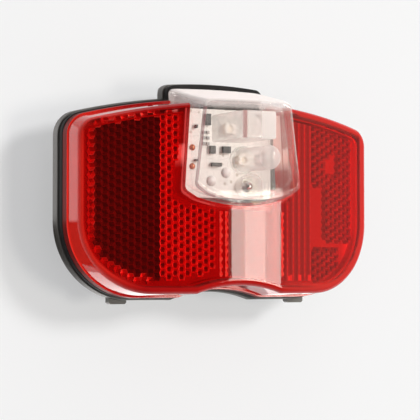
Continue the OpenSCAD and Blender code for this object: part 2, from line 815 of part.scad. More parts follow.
// Locating pins with domed heads in front of the board
pin_places = [[rod_x - 10.3, rod_z - 6.4], [rod_x - 5.3, rod_z - 3.8]];
pin_r = 1.1;
module board_pins() {
    dome_r = 1.6;
    dome_h = 0.9;
    color("white") for (p = pin_places) turned(p.x, p.y, plate_front, concat(
        [[0, 0], [pin_r, 0], [pin_r, board_front - plate_front]],
        [for (a = [0:18:90]) [dome_r * cos(a), board_front - plate_front + dome_h * sin(a)]]
    ));
}

// Small parts on the front of the board: X, Z, width and height
module on_board(places, h) {
    for (p = places) translate([p.x, 0, p.y])
        block(-p[2] / 2, p[2] / 2, board_front, board_front + h, -p[3] / 2, p[3] / 2);
}

module board_chips() {
    color("#242424") on_board([
        [-0.5, rod_z + 2.9, 1.7, 2.3], [4.2, rod_z + 3, 2.6, 2], [0.8, rod_z - 1.5, 3.2, 1.1],
        [-2, guide_z + 2.6, 1.6, 3.4], [-6, guide_z + 0.4, 0.6, 1], [-6, rod_z - 0.4, 1, 0.6]
    ], 1.1);
}

module board_resistors() {
    rows = 3;
    color("#55575a") on_board([
        for (row = [0:rows - 1], col = [0, 1]) [-3.2 + 1.3 * col, guide_z - 1.2 - 1.7 * row, 0.9, 0.9]
    ], 0.5);
}

// Copper-coloured solder domes near the board's left edge
module solder_domes() {
    dome_r = 0.95;
    color("peru") for (z = [rod_z + 3.4, rod_z - 2.2]) turned(-7, z, board_front,
        concat([[0, 0]], [for (a = [0:18:90]) [dome_r * cos(a), 0.7 * dome_r * sin(a)]]));
}

// Surface-mount lamps under the three optics
module led_emitters() {
    places = [[guide_x, guide_z], [rod_x, rod_z], [cup_x, cup_z]];
    color("gold") for (p = places) translate([p.x, 0, p.y]) difference() {
        block(-lamp_w / 2, lamp_w / 2, board_front, board_front + lamp_h, -lamp_l / 2, lamp_l / 2);
        bar(0, 0, board_front + lamp_h - 0.6, board_front + lamp_h + 1, 1.1);
    }
}

// Rectangular guide that stands on the board over its lamp
module light_guide_block() {
    pocket_w = lamp_w / 2 + gap;
    pocket_l = lamp_l / 2 + gap;
    color("white", 0.5) translate([guide_x, 0, guide_z]) difference() {
        block(-guide_w / 2, guide_w / 2, board_front, guide_front, guide_low - guide_z, guide_high - guide_z);
        block(-pocket_w, pocket_w, 0, board_front + lamp_h + gap, -pocket_l, pocket_l);
    }
}

// Round guide with a foot round its lamp and a domed tip
module light_guide_rod() {
    r = rod_d / 2;
    foot_r = r + 0.6;
    foot_h = 1.6;
    dome_h = 2.4;
    pocket_r = norm([lamp_w, lamp_l]) / 2 + 0.15;
    pocket_h = lamp_h + gap;
    l = rod_front - board_front;
    color("white", 0.5) turned(rod_x, rod_z, board_front, concat(
        [[0, pocket_h], [pocket_r, pocket_h], [pocket_r, 0], [foot_r, 0], [foot_r, foot_h], [r, foot_h]],
        [for (a = [0:15:90]) [r * cos(a), l - dome_h + dome_h * sin(a)]]
    ));
}

// Open cup round the lowest lamp
module led_cup() {
    mouth_r = cup_d / 2;
    foot_r = norm([lamp_w, lamp_l]) / 2 + 0.15;
    t = 0.6;
    color("white", 0.7) turned(cup_x, cup_z, board_front, [
        [foot_r, 0], [foot_r + t, 0], [mouth_r, cup_h], [mouth_r - t, cup_h]
    ]);
}

// Switch on the back of the board with a bore for its plunger
module switch_body() {
    color("#303033") difference() {
        block(-switch_w / 2, switch_w / 2, switch_back, board_back, switch_top - switch_h, switch_top);
        translate([0, -key_depth, plunger_low - key_travel - gap])
            cylinder(h = switch_h, r = plunger_r + seat);
    }
}

module switch_plunger() {
    color("#8a2020") translate([0, -key_depth, plunger_low]) cylinder(h = plunger_l, r = plunger_r);
}

// Rubber key: a pad in the hump's top wall, a flange below the wall and a stem to the plunger
module push_button() {
    stem_r = 2;
    flange_low = key_flange_top - key_flange_t;
    color("#161616") union() {
        oblong(key_l, key_w, key_depth, key_flange_top - 0.2, key_top);
        oblong(key_l + 2 * key_flange_w, key_w + key_flange_w, key_depth, flange_low, key_flange_top);
        translate([0, -key_depth, plunger_top]) cylinder(h = flange_low - plunger_top + 0.2, r = stem_r);
    }
}

rear_housing();
mounting_studs();
lens_seal();
battery_tray();
upper_cell();
lower_cell();
battery_springs();
series_contact();
positive_contact();
negative_contact();
supply_leads();
circuit_board();
board_screws();
board_chips();
board_resistors();
solder_domes();
board_pins();
led_emitters();
light_guide_block();
light_guide_rod();
led_cup();
switch_body();
switch_plunger();
push_button();
red_lens();
clear_window();
left_prism_panel();
centre_prism_panel();
right_prism_panel();
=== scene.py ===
"""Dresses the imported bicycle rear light: smooth mouldings, reflector prisms, clear optics and finishes.

The sizes are in metres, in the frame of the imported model: +Z is up, the lens faces -Y, and a depth is
measured from the mounting plane towards the front, so a point at depth d has Y = -d.
"""

import math

import bmesh
import bpy
import numpy as np
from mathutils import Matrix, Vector


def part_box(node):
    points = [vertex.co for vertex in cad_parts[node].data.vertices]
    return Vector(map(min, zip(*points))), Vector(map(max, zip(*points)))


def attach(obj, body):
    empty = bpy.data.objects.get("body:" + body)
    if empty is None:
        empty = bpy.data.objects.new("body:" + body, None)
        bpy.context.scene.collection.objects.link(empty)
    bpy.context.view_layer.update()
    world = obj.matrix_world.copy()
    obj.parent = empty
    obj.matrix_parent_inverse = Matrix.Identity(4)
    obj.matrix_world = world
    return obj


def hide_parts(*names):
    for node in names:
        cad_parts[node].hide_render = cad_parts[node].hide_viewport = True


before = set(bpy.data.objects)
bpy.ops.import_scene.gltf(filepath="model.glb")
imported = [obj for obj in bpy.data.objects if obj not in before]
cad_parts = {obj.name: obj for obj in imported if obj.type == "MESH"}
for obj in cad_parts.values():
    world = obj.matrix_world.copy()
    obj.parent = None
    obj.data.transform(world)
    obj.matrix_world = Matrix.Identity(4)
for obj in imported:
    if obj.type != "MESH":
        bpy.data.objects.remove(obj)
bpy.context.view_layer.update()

bl_info = {
    "name": "Bicycle rear light",
    "version": (1, 0, 0),
    "blender": (4, 5, 0),
    "location": "3D View > Sidebar > Rear light",
    "description": "Builds the mouldings, optics and finishes of a rack-mounted rear light",
    "category": "Object",
}

MM = 0.001

# Points along each stretch of half an outline; the upper and the lower half have the same number
HUMP_POINTS = 9
CORNER_POINTS = 16
CROWN_POINTS = 34
HALF_POINTS = 2 * HUMP_POINTS + 1 + CROWN_POINTS + CORNER_POINTS
LOWER_POINTS = 40
ARCH_POINTS = HALF_POINTS - LOWER_POINTS - 1
SIDE_POINTS = 22
WINDOW_POINTS = 18

# Mirrors points of an outline in X
FLIP_X = np.array((-1.0, 1.0))

# Least radii of the upper corners and of the hump's corners of an outline that is drawn inwards
LEAST_CORNER = 0.4 * MM
LEAST_HUMP_CORNER = 0.3 * MM

# How far the cover's upper edge lies below the outline
COVER_DROP = 0.8 * MM

# Share of the window's half width along its sill and roof, the roof's crown and the lean of the sides
EDGE_SHARE = 0.82
ROOF_CROWN = 0.4 * MM
SIDE_LEAN = 0.066

# Brightness of the floor and the backdrop to the eye
BACKDROP = 0.914


def length(name, description, default):
    """A length property, given in millimetres and kept in metres."""
    return bpy.props.FloatProperty(
        name=name, description=description, default=default * MM, unit="LENGTH", precision=4
    )


def colour(name, description, default):
    """A linear colour property."""
    return bpy.props.FloatVectorProperty(
        name=name, description=description, default=default, size=3, subtype="COLOR", min=0, max=1
    )


def number(name, description, default):
    """A plain number property."""
    return bpy.props.FloatProperty(name=name, description=description, default=default)


class ShellSizes(bpy.types.PropertyGroup):
    """Outline and depths of the housing."""

    width: length("Width", "Width of the housing at its widest edge", 100)
    height: length("Height", "Height from the flat bottom edge to the crown of the hump", 64.4)
    lower_corner: length("Lower corners", "Radius of the two large lower corners", 23)
    upper_corner: length("Upper corners", "Radius of the two upper corners", 7.5)
    shoulder: length("Shoulder height", "Height of the centre of the upper corners", 15.1)
    slope: number("Shoulder slope", "Slope of the top edge at the upper corner, in degrees", 14)
    crown: length("Crown radius", "Radius of the crowned top edge of each wing", 200)
    hump_width: length("Hump width", "Width of the hump above the window", 33.2)
    hump_corner: length("Hump corners", "Radius of the upper corners of the hump", 3)
    hump_crown: length("Hump crown", "Radius of the crowned top of the hump", 150)
    arch_width: length("Arch width", "Width of the arch in the lower edge", 27)
    arch_rise: length("Arch rise", "Rise of the arch in the lower edge", 2.4)
    rim: length("Rim depth", "Depth of the front edge of the rim", 10)
    widest: length("Widest depth", "Depth at which the housing is widest", 7)
    plate_back: length("Plate back", "Depth of the back face of the plate", 1.2)
    plate_front: length("Plate front", "Depth of the inner face of the plate", 3.2)
    wall: length("Wall", "Thickness of the side walls", 2.2)
    taper: length("Back taper", "How far the side walls taper in towards the back", 4.4)
    seal: length("Seal front", "Depth of the front face of the seal", 12.4)


class CoverSizes(bpy.types.PropertyGroup):
    """Red cover and clear window."""

    lens_radius: length("Front radius", "Radius of the convex front, about an upright axis", 147)
    lens_depth: length("Front depth", "Depth of the front at its middle", 28.8)
    lens_wall: length("Front wall", "Thickness of the red front", 2.2)
    lens_inset: length("Front inset", "How far the front's edge lies inside the outline", 2)
    edge_radius: length("Edge radius", "Radius of the rounded front edge", 1.4)
    flange_back: length("Flange back", "Depth of the back face of the flange", 12.5)
    flange_front: length("Flange front", "Depth of the front face of the flange", 15)
    spigot_back: length("Spigot back", "Depth at which the spigot ends inside the housing", 8.5)
    window_width: length("Window width", "Width of the window at its sill", 35.8)
    window_top: length("Window top", "Width of the window's front at its top", 29.2)
    window_front: length("Window front", "Depth of the window's front", 32.9)
    window_base: length("Window base", "Depth at which the window enters the cover", 27.8)
    window_back: length("Window back", "Depth of the window's back edge below", 24.4)
    window_wall: length("Window wall", "Thickness of the window's walls", 1.8)
    window_corner: length("Window corners", "Radius of the window's corners", 2)
    window_edge: length("Window edge", "Radius of the window's rounded front edge", 0.9)
    sill: length("Sill", "Height of the lowest point of the sill", -4.7)
    sill_rise: length("Sill rise", "Rise of the sill from its middle to its corners", 3.6)
    roof: length("Roof", "Height of the roof at its back", 30.2)
    roof_fall: length("Roof fall", "How far the roof falls towards the front", 4.6)


class ReflectorSizes(bpy.types.PropertyGroup):
    """Prism fields behind the red front."""

    pitch: length("Prism pitch", "Distance between neighbouring prisms", 2.22)
    behind: length("Distance", "Distance of the prism panels from the outside of the front", 2.5)
    valley: length("Panel", "Thickness of a panel at the valleys between its prisms", 0.9)
    sheet: length("Sheet", "Thickness of the faceted sheet", 0.3)
    border: length("Border", "Plain border between the outline and the prisms", 6.1)
    bezel: length("Bezel", "Plain border beside the window", 0.6)
    block: length("Dark block", "X at which the dark reflector block meets the bright field", -23.6)
    bright_to: length("Bright field", "X at which the bright field ends", -6.4)
    band_from: length("Band", "X at which the pale middle band starts", -2.6)
    flute_from: length("Flutes from", "X at which the fluted strip starts", 16.2)
    flute_to: length("Flutes to", "X at which the fluted strip ends", 27.2)
    flute_pitch: length("Flute pitch", "Distance between the flutes", 2.2)


class LightColours(bpy.types.PropertyGroup):
    """Colours of the finishes."""

    housing: colour("Housing", "Textured black plastic", (0.066, 0.058, 0.050))
    seal: colour("Seal", "Black rubber", (0.012, 0.011, 0.011))
    lens: colour("Cover", "Body colour of the red cover", (0.50, 0.006, 0.007))
    prism: colour("Prisms", "Red of the reflector prisms", (1.0, 0.012, 0.012))
    board: colour("Board", "White solder mask", (0.80, 0.79, 0.76))
    steel: colour("Steel", "Zinc plated steel", (0.62, 0.62, 0.64))
    nickel: colour("Nickel", "Nickel plated contacts", (0.70, 0.69, 0.66))
    copper: colour("Solder domes", "Copper-coloured solder domes", (0.42, 0.16, 0.09))
    wrap: colour("Cell wrap", "Printed sleeve of the cells", (0.55, 0.42, 0.20))


def sizes(group):
    """The property group of that name on the scene."""
    return getattr(bpy.context.scene, "rear_light_" + group)


# Shader maths


class Socket:
    """An output of a shader node; arithmetic on it adds Math nodes."""

    def __init__(self, nodes, out):
        self.nodes = nodes
        self.out = out

    def _math(self, operation, *values, clamp=False):
        settings = {"operation": operation, "use_clamp": clamp}
        return self.nodes.node("ShaderNodeMath", settings, dict(enumerate(values)))

    def __add__(self, other):
        return self._math("ADD", self, other)

    __radd__ = __add__

    def __sub__(self, other):
        return self._math("SUBTRACT", self, other)

    def __rsub__(self, other):
        return self._math("SUBTRACT", other, self)

    def __mul__(self, other):
        return self._math("MULTIPLY", self, other)

    __rmul__ = __mul__

    def __pow__(self, other):
        return self._math("POWER", self, other)

    def __gt__(self, other):
        return self._math("GREATER_THAN", self, other)

    def __lt__(self, other):
        return self._math("LESS_THAN", self, other)

    def __abs__(self):
        return self._math("ABSOLUTE", self)

    def repeat(self):
        """The share past the last whole number."""
        return self._math("FRACT", self)

    def clamped(self):
        return self._math("ADD", self, 0, clamp=True)

    def between(self, low, high):
        """0 below low, 1 above high and even in between."""
        return self._math("DIVIDE", self - low, high - low, clamp=True)


class Nodes:
    """A node tree under construction, of a material or of the world."""

    def __init__(self, owner):
        owner.use_nodes = True
        self.owner = owner
        self.tree = owner.node_tree
        self.tree.nodes.clear()

    def node(self, kind, settings=None, sockets=None, output=0):
        """Adds a node: its settings first, then the values or links of its sockets."""
        made = self.tree.nodes.new(kind)
        for name, value in (settings or {}).items():
            setattr(made, name, value)
        for key, value in (sockets or {}).items():
            target = made.inputs[key]
            if isinstance(value, Socket):
                self.tree.links.new(value.out, target)
            elif target.type == "RGBA":
                target.default_value = (*value, 1)
            else:
                target.default_value = value
        if isinstance(output, tuple):
            return [Socket(self, made.outputs[key]) for key in output]
        return Socket(self, made.outputs[output]) if len(made.outputs) else None

    def place(self):
        """X, Y and Z of the point in the object's own frame."""
        vector = self.node("ShaderNodeTexCoord", output="Object")
        return self.node("ShaderNodeSeparateXYZ", None, {0: vector}, output=("X", "Y", "Z"))

    def noise(self, scale, detail=2.0, rough=0.5, stretch=None):
        """Noise in the object's frame; stretch squeezes it along the axes."""
        vector = self.node("ShaderNodeTexCoord", output="Object")
        if stretch:
            vector = self.node("ShaderNodeMapping", None, {"Vector": vector, "Scale": stretch})
        sockets = {"Vector": vector, "Scale": scale, "Detail": detail, "Roughness": rough}
        return self.node("ShaderNodeTexNoise", None, sockets)

    def mix(self, factor, first, second):
        """Blend of two colours."""
        settings = {"data_type": "RGBA", "clamp_factor": True}
        return self.node("ShaderNodeMix", settings, {0: factor, 6: first, 7: second}, output=2)

    def bump(self, height, distance, strength):
        sockets = {"Height": height, "Distance": distance, "Strength": strength}
        return self.node("ShaderNodeBump", None, sockets)

    def attribute(self, name):
        return self.node("ShaderNodeAttribute", {"attribute_name": name}, output="Fac")

    def plastic(self, **sockets):
        """A Principled surface; sockets are named with underscores for spaces."""
        named = {key.replace("_", " "): value for key, value in sockets.items()}
        return self.node("ShaderNodeBsdfPrincipled", None, named)

    def blend(self, factor, first, second):
        """Mix of two shaders."""
        return self.node("ShaderNodeMixShader", None, {0: factor, 1: first, 2: second})

    def matt(self, shade):
        """A surface that scatters light and has no gloss."""
        return self.plastic(Base_Color=shade, Roughness=0.9, Specular_IOR_Level=0.0)

    def polish(self, normal):
        """The mirroring part of a polished surface."""
        sockets = {"Color": (1, 1, 1), "Roughness": 0.03, "Normal": normal}
        return self.node("ShaderNodeBsdfGlossy", None, sockets)

    def clear(self, tint=(1, 1, 1)):
        """A surface that light passes straight, tinted on its way."""
        return self.node("ShaderNodeBsdfTransparent", None, {"Color": tint})

    def milky(self, tint):
        """A surface that scatters light onwards, to its far side."""
        return self.node("ShaderNodeBsdfTranslucent", None, {"Color": tint})

    def slant(self):
        """0 where a surface faces the eye, 1 where it is seen edge on."""
        return self.node("ShaderNodeLayerWeight", None, {"Blend": 0.5}, output="Facing")

    def gloss_share(self, floor=0.04):
        """Share of light that a polished surface mirrors: a floor plus the rise at a flat angle."""
        return self.slant() ** 5 * (1 - floor) + floor

    def finish(self, shader, kind="ShaderNodeOutputMaterial"):
        self.node(kind, None, {"Surface": shader})
        return self.owner


def material(name):
    """An empty node material."""
    return Nodes(bpy.data.materials.new(name))


# Surfaces


def arc(centre, radius, start, end, count):
    """Points on a circle, evenly spread from one angle to another, in degrees."""
    angle = np.radians(np.linspace(start, end, count))
    return np.column_stack((centre[0] + radius * np.cos(angle), centre[1] + radius * np.sin(angle)))


def half_step_arc(centre, radius, start, end, count):
    """Points on a circle that stop half a step before the end, where the mirrored half goes on."""
    angle = np.radians(start + (end - start) * np.arange(count) / (count - 0.5))
    return np.column_stack((centre[0] + radius * np.cos(angle), centre[1] + radius * np.sin(angle)))


def eased(count):
    """Shares from 0 to 1 that crowd together at both ends."""
    return 0.5 - 0.5 * np.cos(np.pi * np.linspace(0, 1, count))


def closed(top, low, sides=0):
    """A ring from the right halves of its upper and lower edge, with points along the straight sides."""
    share = eased(sides + 2)[1:-1, None]
    right = top[-1] * (1 - share) + low[0] * share
    return np.concatenate(
        (top[::-1] * FLIP_X, top, right, low, low[::-1] * FLIP_X, right[::-1] * FLIP_X)
    )


def rounded(profile, times=2):
    """Corners of an open profile cut off: each cut keeps the ends and a quarter next to each corner."""
    points = np.asarray(profile, float)
    for _ in range(times):
        near = 0.75 * points[:-1] + 0.25 * points[1:]
        far = 0.25 * points[:-1] + 0.75 * points[1:]
        middle = np.stack((near, far), axis=1).reshape(-1, points.shape[1])
        points = np.concatenate((points[:1], middle, points[-1:]))
    return points


class Outline:
    """The light's outline in X and Z, drawn inwards by insets."""

    def __init__(self):
        s = sizes("shell")
        self.s = s
        self.half = s.width / 2
        self.low = -s.height / 2
        self.high = s.height / 2
        self.shoulder = np.array((self.half - s.upper_corner, s.shoulder))
        self.crown_end = 90 - s.slope
        turn = math.radians(self.crown_end)
        reach = s.crown - s.upper_corner
        self.crown_c = self.shoulder - reach * np.array((math.cos(turn), math.sin(turn)))
        self.hump_c = np.array((0, self.high - s.hump_crown))
        lean = math.asin((s.hump_width / 2 - s.hump_corner) / (s.hump_crown - s.hump_corner))
        self.hump_corner_z = self.hump_c[1] + (s.hump_crown - s.hump_corner) * math.cos(lean)
        self.lower_c = np.array((self.half - s.lower_corner, self.low + s.lower_corner))
        self.arch_r = ((s.arch_width / 2) ** 2 + s.arch_rise**2) / (2 * s.arch_rise)
        self.arch_c = np.array((0, self.low + s.arch_rise - self.arch_r))

    def crown_angle(self, x, inset):
        """Angle of the wings' crown arc at X, in degrees."""
        return math.degrees(math.acos((x - self.crown_c[0]) / (self.s.crown - inset)))

    def crown_z(self, x, inset):
        """Height of the wings' crown at X."""
        return self.crown_c[1] + np.sqrt((self.s.crown - inset) ** 2 - (x - self.crown_c[0]) ** 2)

    def wing(self, x, inset, count):
        """Top edge of a wing from X to the middle of the side: a crown arc and a corner arc."""
        radius = max(self.s.upper_corner - inset, LEAST_CORNER)
        crown = arc(
            self.crown_c, self.s.crown - inset, self.crown_angle(x, inset), self.crown_end, count
        )
        return np.concatenate((crown, arc(self.shoulder, radius, self.crown_end, 0, CORNER_POINTS)))

    def lower(self, inset):
        """Lower edge from the side to the middle: a corner arc, a flat and half the arch."""
        radius = self.arch_r + inset
        x = math.sqrt(radius**2 - (self.low + inset - self.arch_c[1]) ** 2)
        flat_gap = 0.4
        start = math.degrees(math.acos(x / radius)) + flat_gap
        corner = arc(self.lower_c, self.s.lower_corner - inset, 0, -90, LOWER_POINTS)
        flat = np.array([[x, self.low + inset]])
        arch = half_step_arc(self.arch_c, radius, start, 90, ARCH_POINTS)
        return np.concatenate((corner, flat, arch))

    def housing(self, inset, top, side):
        """Outline with the hump, whose top and sides have insets of their own."""
        s = self.s
        radius = max(s.hump_corner - max(top, side), LEAST_HUMP_CORNER)
        x = s.hump_width / 2 - side
        centre = np.array((x - radius, self.hump_corner_z + s.hump_corner - top - radius))
        end = math.degrees(math.atan2(centre[1] + radius - self.hump_c[1], centre[0]))
        crown = half_step_arc(self.hump_c, s.hump_crown - top, end, 90, HUMP_POINTS)[::-1]
        corner = arc(centre, radius, end, 0, HUMP_POINTS)
        foot = np.array([[x, self.crown_z(x, inset)]])
        foot_gap = 0.5 * MM
        wing = self.wing(x + foot_gap, inset, CROWN_POINTS)
        return closed(np.concatenate((crown, corner, foot, wing)), self.lower(inset), SIDE_POINTS)

    def cover(self, inset, drop=0.0):
        """Outline without the hump, its upper edge lowered by a drop."""
        middle_gap = 0.4 * MM
        top = self.wing(middle_gap, inset, HALF_POINTS - CORNER_POINTS)
        return closed(top - np.array((0, drop)), self.lower(inset), SIDE_POINTS)

    def top_edge(self, x, inset):
        """Height of the cover's upper edge at X."""
        s = self.s
        radius = max(s.upper_corner - inset, LEAST_CORNER)
        corner = self.shoulder[1] + np.sqrt(np.maximum(radius**2 - (x - self.shoulder[0]) ** 2, 0))
        start = self.shoulder[0] + radius * math.cos(math.radians(self.crown_end))
        return np.where(x > start, corner, self.crown_z(np.minimum(x, start), inset))

    def low_edge(self, x, inset):
        """Height of the lower edge at X."""
        s = self.s
        radius = s.lower_corner - inset
        corner = self.lower_c[1] - np.sqrt(np.maximum(radius**2 - (x - self.lower_c[0]) ** 2, 0))
        arch_r = self.arch_r + inset
        arch = self.arch_c[1] + np.sqrt(np.maximum(arch_r**2 - x**2, 0))
        flat = np.maximum(self.low + inset, arch)
        return np.where(x > self.lower_c[0], corner, flat)

    def inside(self, x, z):
        """Distance inwards from the cover's edge: from the crowned top, the sides, corners and arch."""
        x = np.abs(x)
        top = (self.top_edge(x, 0) - z) * math.cos(math.radians(self.s.slope / 2))
        over, under = np.maximum(x - self.lower_c[0], 0), np.minimum(z - self.lower_c[1], 0)
        corner = self.s.lower_corner - np.hypot(over, under)
        return np.minimum(np.minimum(top, corner), z - self.low_edge(x, 0))


def lens_front(x):
    """Depth of the convex front at X: an upright cylinder."""
    c = sizes("cover")
    return c.lens_depth - c.lens_radius + np.sqrt(c.lens_radius**2 - x**2)


def flat_ring(outline, depth):
    """An outline at one depth."""
    return np.column_stack((outline[:, 0], np.full(len(outline), -depth), outline[:, 1]))


def front_ring(outline, behind):
    """An outline laid on the convex front, a distance behind it."""
    return np.column_stack((outline[:, 0], behind - lens_front(outline[:, 0]), outline[:, 1]))


def walls(rings, loop=False):
    """Quads between neighbouring rings of points; a loop runs back into its first ring."""
    count, size = rings.shape[:2]
    ring = np.arange(count if loop else count - 1)[:, None]
    here = np.arange(size)[None, :]
    ahead = (here + 1) % size
    onward = (ring + 1) % count
    quads = np.stack(
        (ring * size + here, ring * size + ahead, onward * size + ahead, onward * size + here), axis=-1
    )
    return quads.reshape(-1, 4)


def fan(points, ring):
    """A flat lid: triangles from a ring's vertices to one new point in its middle."""
    middle = len(points)
    points = np.concatenate((points, points[ring].mean(0, keepdims=True)))
    return points, np.column_stack((ring, np.roll(ring, -1), np.full(len(ring), middle)))


def loft(rings, loop=False):
    """A closed skin through a stack of rings, with a flat lid on each end unless it is a loop."""
    rings = np.asarray(rings)
    count, size = rings.shape[:2]
    points = rings.reshape(-1, 3)
    faces = walls(rings, loop).tolist()
    if not loop:
        for first in (0, (count - 1) * size):
            points, lid = fan(points, np.arange(first, first + size))
            faces += lid.tolist()
    return points, faces


def front_lid(points, first, behind):
    """A lid that follows the convex front: a grid of rows between a ring's upper and lower edge."""
    width = 2 * HALF_POINTS
    rows = SIDE_POINTS + 2
    grid = np.zeros((rows, width), int)
    grid[0] = np.arange(width)
    right = width + np.arange(SIDE_POINTS)
    grid[-1] = (width + SIDE_POINTS + np.arange(width))[::-1]
    left = 2 * width + SIDE_POINTS + np.arange(SIDE_POINTS)
    grid[1:-1, 0] = left[::-1]
    grid[1:-1, -1] = right
    grid += first
    share = eased(rows)[1:-1, None, None]
    inner = points[grid[0, 1:-1]] * (1 - share) + points[grid[-1, 1:-1]] * share
    inner[..., 1] = behind - lens_front(inner[..., 0])
    grid[1:-1, 1:-1] = len(points) + np.arange(inner[..., 0].size).reshape(rows - 2, width - 2)
    points = np.concatenate((points, inner.reshape(-1, 3)))
    quads = np.stack((grid[:-1, :-1], grid[:-1, 1:], grid[1:, 1:], grid[1:, :-1]), axis=-1)
    return points, quads.reshape(-1, 4).tolist()


def turned(profile, place, axis, count=48):
    """A solid of revolution: radius and height pairs turned about an axis through a place."""
    profile = np.asarray(profile, float)
    angle = np.linspace(0, 2 * np.pi, count, endpoint=False)
    radius, height = profile[:, :1], profile[:, 1:]
    flat = (radius * np.cos(angle), radius * np.sin(angle), np.broadcast_to(height, (len(profile), count)))
    order = {"x": (2, 0, 1), "y": (0, 2, 1)}[axis]
    rings = np.stack([flat[k] for k in order], axis=-1)
    if axis == "y":
        rings[..., 1] *= -1
    return loft(rings + np.asarray(place))


def swept(path, radius, across, count=12):
    """A round tube: a circle carried along a path, square to it, measured from a direction across."""
    path = np.asarray(path, float)
    along = np.gradient(path, axis=0)
    along /= np.linalg.norm(along, axis=1, keepdims=True)
    side = np.cross(along, across)
    side /= np.linalg.norm(side, axis=1, keepdims=True)
    up = np.cross(along, side)
    angle = np.linspace(0, 2 * np.pi, count, endpoint=False)[None, :, None]
    rings = path[:, None] + radius * (np.cos(angle) * side[:, None] + np.sin(angle) * up[:, None])
    return loft(rings)


def joined(*parts):
    """Several closed skins as one mesh."""
    points, faces, start = [], [], 0
    for part_points, part_faces in parts:
        points.append(part_points)
        faces += [[v + start for v in face] for face in part_faces]
        start += len(part_points)
    return np.concatenate(points), faces


def new_object(name, points, faces):
    """A mesh object whose faces point outwards."""
    mesh = bpy.data.meshes.new(name)
    mesh.from_pydata(np.asarray(points).tolist(), [], faces)
    work = bmesh.new()
    work.from_mesh(mesh)
    bmesh.ops.recalc_face_normals(work, faces=work.faces)
    work.to_mesh(mesh)
    work.free()
    made = bpy.data.objects.new(name, mesh)
    bpy.context.scene.collection.objects.link(made)
    return made


def apply_modifiers(made):
    """Replaces the mesh by its finished form."""
    graph = bpy.context.evaluated_depsgraph_get()
    finished = bpy.data.meshes.new_from_object(made.evaluated_get(graph))
    made.modifiers.clear()
    old = made.data
    made.data = finished
    bpy.data.meshes.remove(old)
    finished.name = made.name


def combine(made, points, faces, operation):
    """Adds a closed skin to a piece, or cuts it away."""
    tool = new_object("tool", points, faces)
    step = made.modifiers.new("combine", "BOOLEAN")
    step.operation = operation
    step.object = tool
    step.solver = "EXACT"
    apply_modifiers(made)
    mesh = tool.data
    bpy.data.objects.remove(tool)
    bpy.data.meshes.remove(mesh)


def vertex_vectors(mesh, key):
    """The normals or the places of a mesh's vertices, one row each."""
    values = np.empty(3 * len(mesh.vertices), np.float32)
    mesh.vertices.foreach_get(key, values)
    return values.reshape(-1, 3)


def store(mesh, name, values, domain="POINT"):
    """Keeps a number for each vertex or face as an attribute that a finish reads."""
    layer = mesh.attributes.new(name, "FLOAT", domain)
    layer.data.foreach_set("value", values.astype(np.float32))


def rise(values, start, run):
    """Shares that go evenly from 0 at the start to 1 after a run."""
    return np.clip((values - start) / run, 0, 1)


def mark_walls(mesh):
    """Stores as the attribute wall how far each point turns away from the front; the skirt and the plain
    border round the front, narrower at the far left and wider at the right, count as turned away. The
    attribute inner marks the points that face the back."""
    normal = vertex_vectors(mesh, "normal")
    x, y, z = vertex_vectors(mesh, "co").T
    facing, turn, backwards = 0.93, 0.3, 0.3
    away = (facing - np.abs(normal[:, 1])) / turn
    width, narrower, wider, fade = 4.4, 0.9, 0.8 * MM, 0.5 * MM
    plain = (width - narrower * rise(-x, 36 * MM, 8 * MM)) * MM
    plain += wider * rise(x, 18 * MM, 4 * MM)
    border = (plain - Outline().inside(x, z)) / fade
    skirt_front = sizes("cover").flange_front + 0.2 * MM
    away[-y < skirt_front] = 1
    store(mesh, "wall", np.clip(np.maximum(away, border), 0, 1))
    store(mesh, "inner", normal[:, 1] > backwards)


def dress(made, finish, body, replaces=(), angle=35, shadow=True):
    """Gives a piece its finish and its body, with creases sharper than an angle kept. The clear
    pieces and the red ones close behind the front cast no shadow, so that light gets in."""
    made.visible_shadow = shadow
    made.data.materials.clear()
    made.data.materials.append(finish)
    made.data.shade_smooth()
    made.data.set_sharp_from_angle(angle=math.radians(angle))
    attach(made, body)
    if replaces:
        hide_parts(*replaces)


def dress_nodes(finish, *names):
    """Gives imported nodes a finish."""
    for name in names:
        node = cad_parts[name]
        if not node.material_slots:
            node.data.materials.append(finish)
        for slot in node.material_slots:
            slot.material = finish


def node_box(name):
    """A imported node's lowest and highest corner, as arrays."""
    low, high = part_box(name)
    return np.array(low), np.array(high)


# Finishes


def scaled(base, by):
    """A colour made darker or lighter by a factor."""
    return tuple(by * c for c in base)


def textured_plastic(name, base, grain=2600, rough=0.46):
    """Moulded plastic with a fine spark-eroded grain and slightly uneven gloss."""
    n = material(name)
    fine = n.noise(grain, 3, 0.6)
    broad = n.noise(90, 3)
    shade = n.mix(broad.between(0.3, 0.75), scaled(base, 0.9), scaled(base, 1.12))
    bump = n.bump(fine, 0.05 * MM, 0.5)
    roughness = broad * 0.12 + (rough - 0.06)
    finish = n.plastic(Base_Color=shade, Roughness=roughness, Specular_IOR_Level=0.9, Normal=bump)
    return n.finish(finish)


def rubber(name, base):
    """Matt black rubber with a dusty bloom."""
    n = material(name)
    bloom = n.noise(400, 4, 0.65)
    shade = n.mix(bloom.between(0.45, 0.8), base, scaled(base, 2.2))
    bump = n.bump(n.noise(3500, 2), 0.04 * MM, 0.4)
    finish = n.plastic(Base_Color=shade, Roughness=bloom * 0.2 + 0.6, Specular_IOR_Level=0.2, Normal=bump)
    return n.finish(finish)


def plated_metal(name, base, rough=0.28, along=(1, 1, 1)):
    """Plated metal with faint drawing marks and a slightly cloudy surface."""
    n = material(name)
    marks = n.noise(1500, 3, 0.6, along)
    cloud = n.noise(250, 3)
    shade = n.mix(cloud.between(0.3, 0.7), scaled(base, 0.78), base)
    bump = n.bump(marks, 0.02 * MM, 0.35)
    roughness = marks * 0.2 + (rough - 0.08)
    return n.finish(n.plastic(Base_Color=shade, Metallic=1.0, Roughness=roughness, Normal=bump))


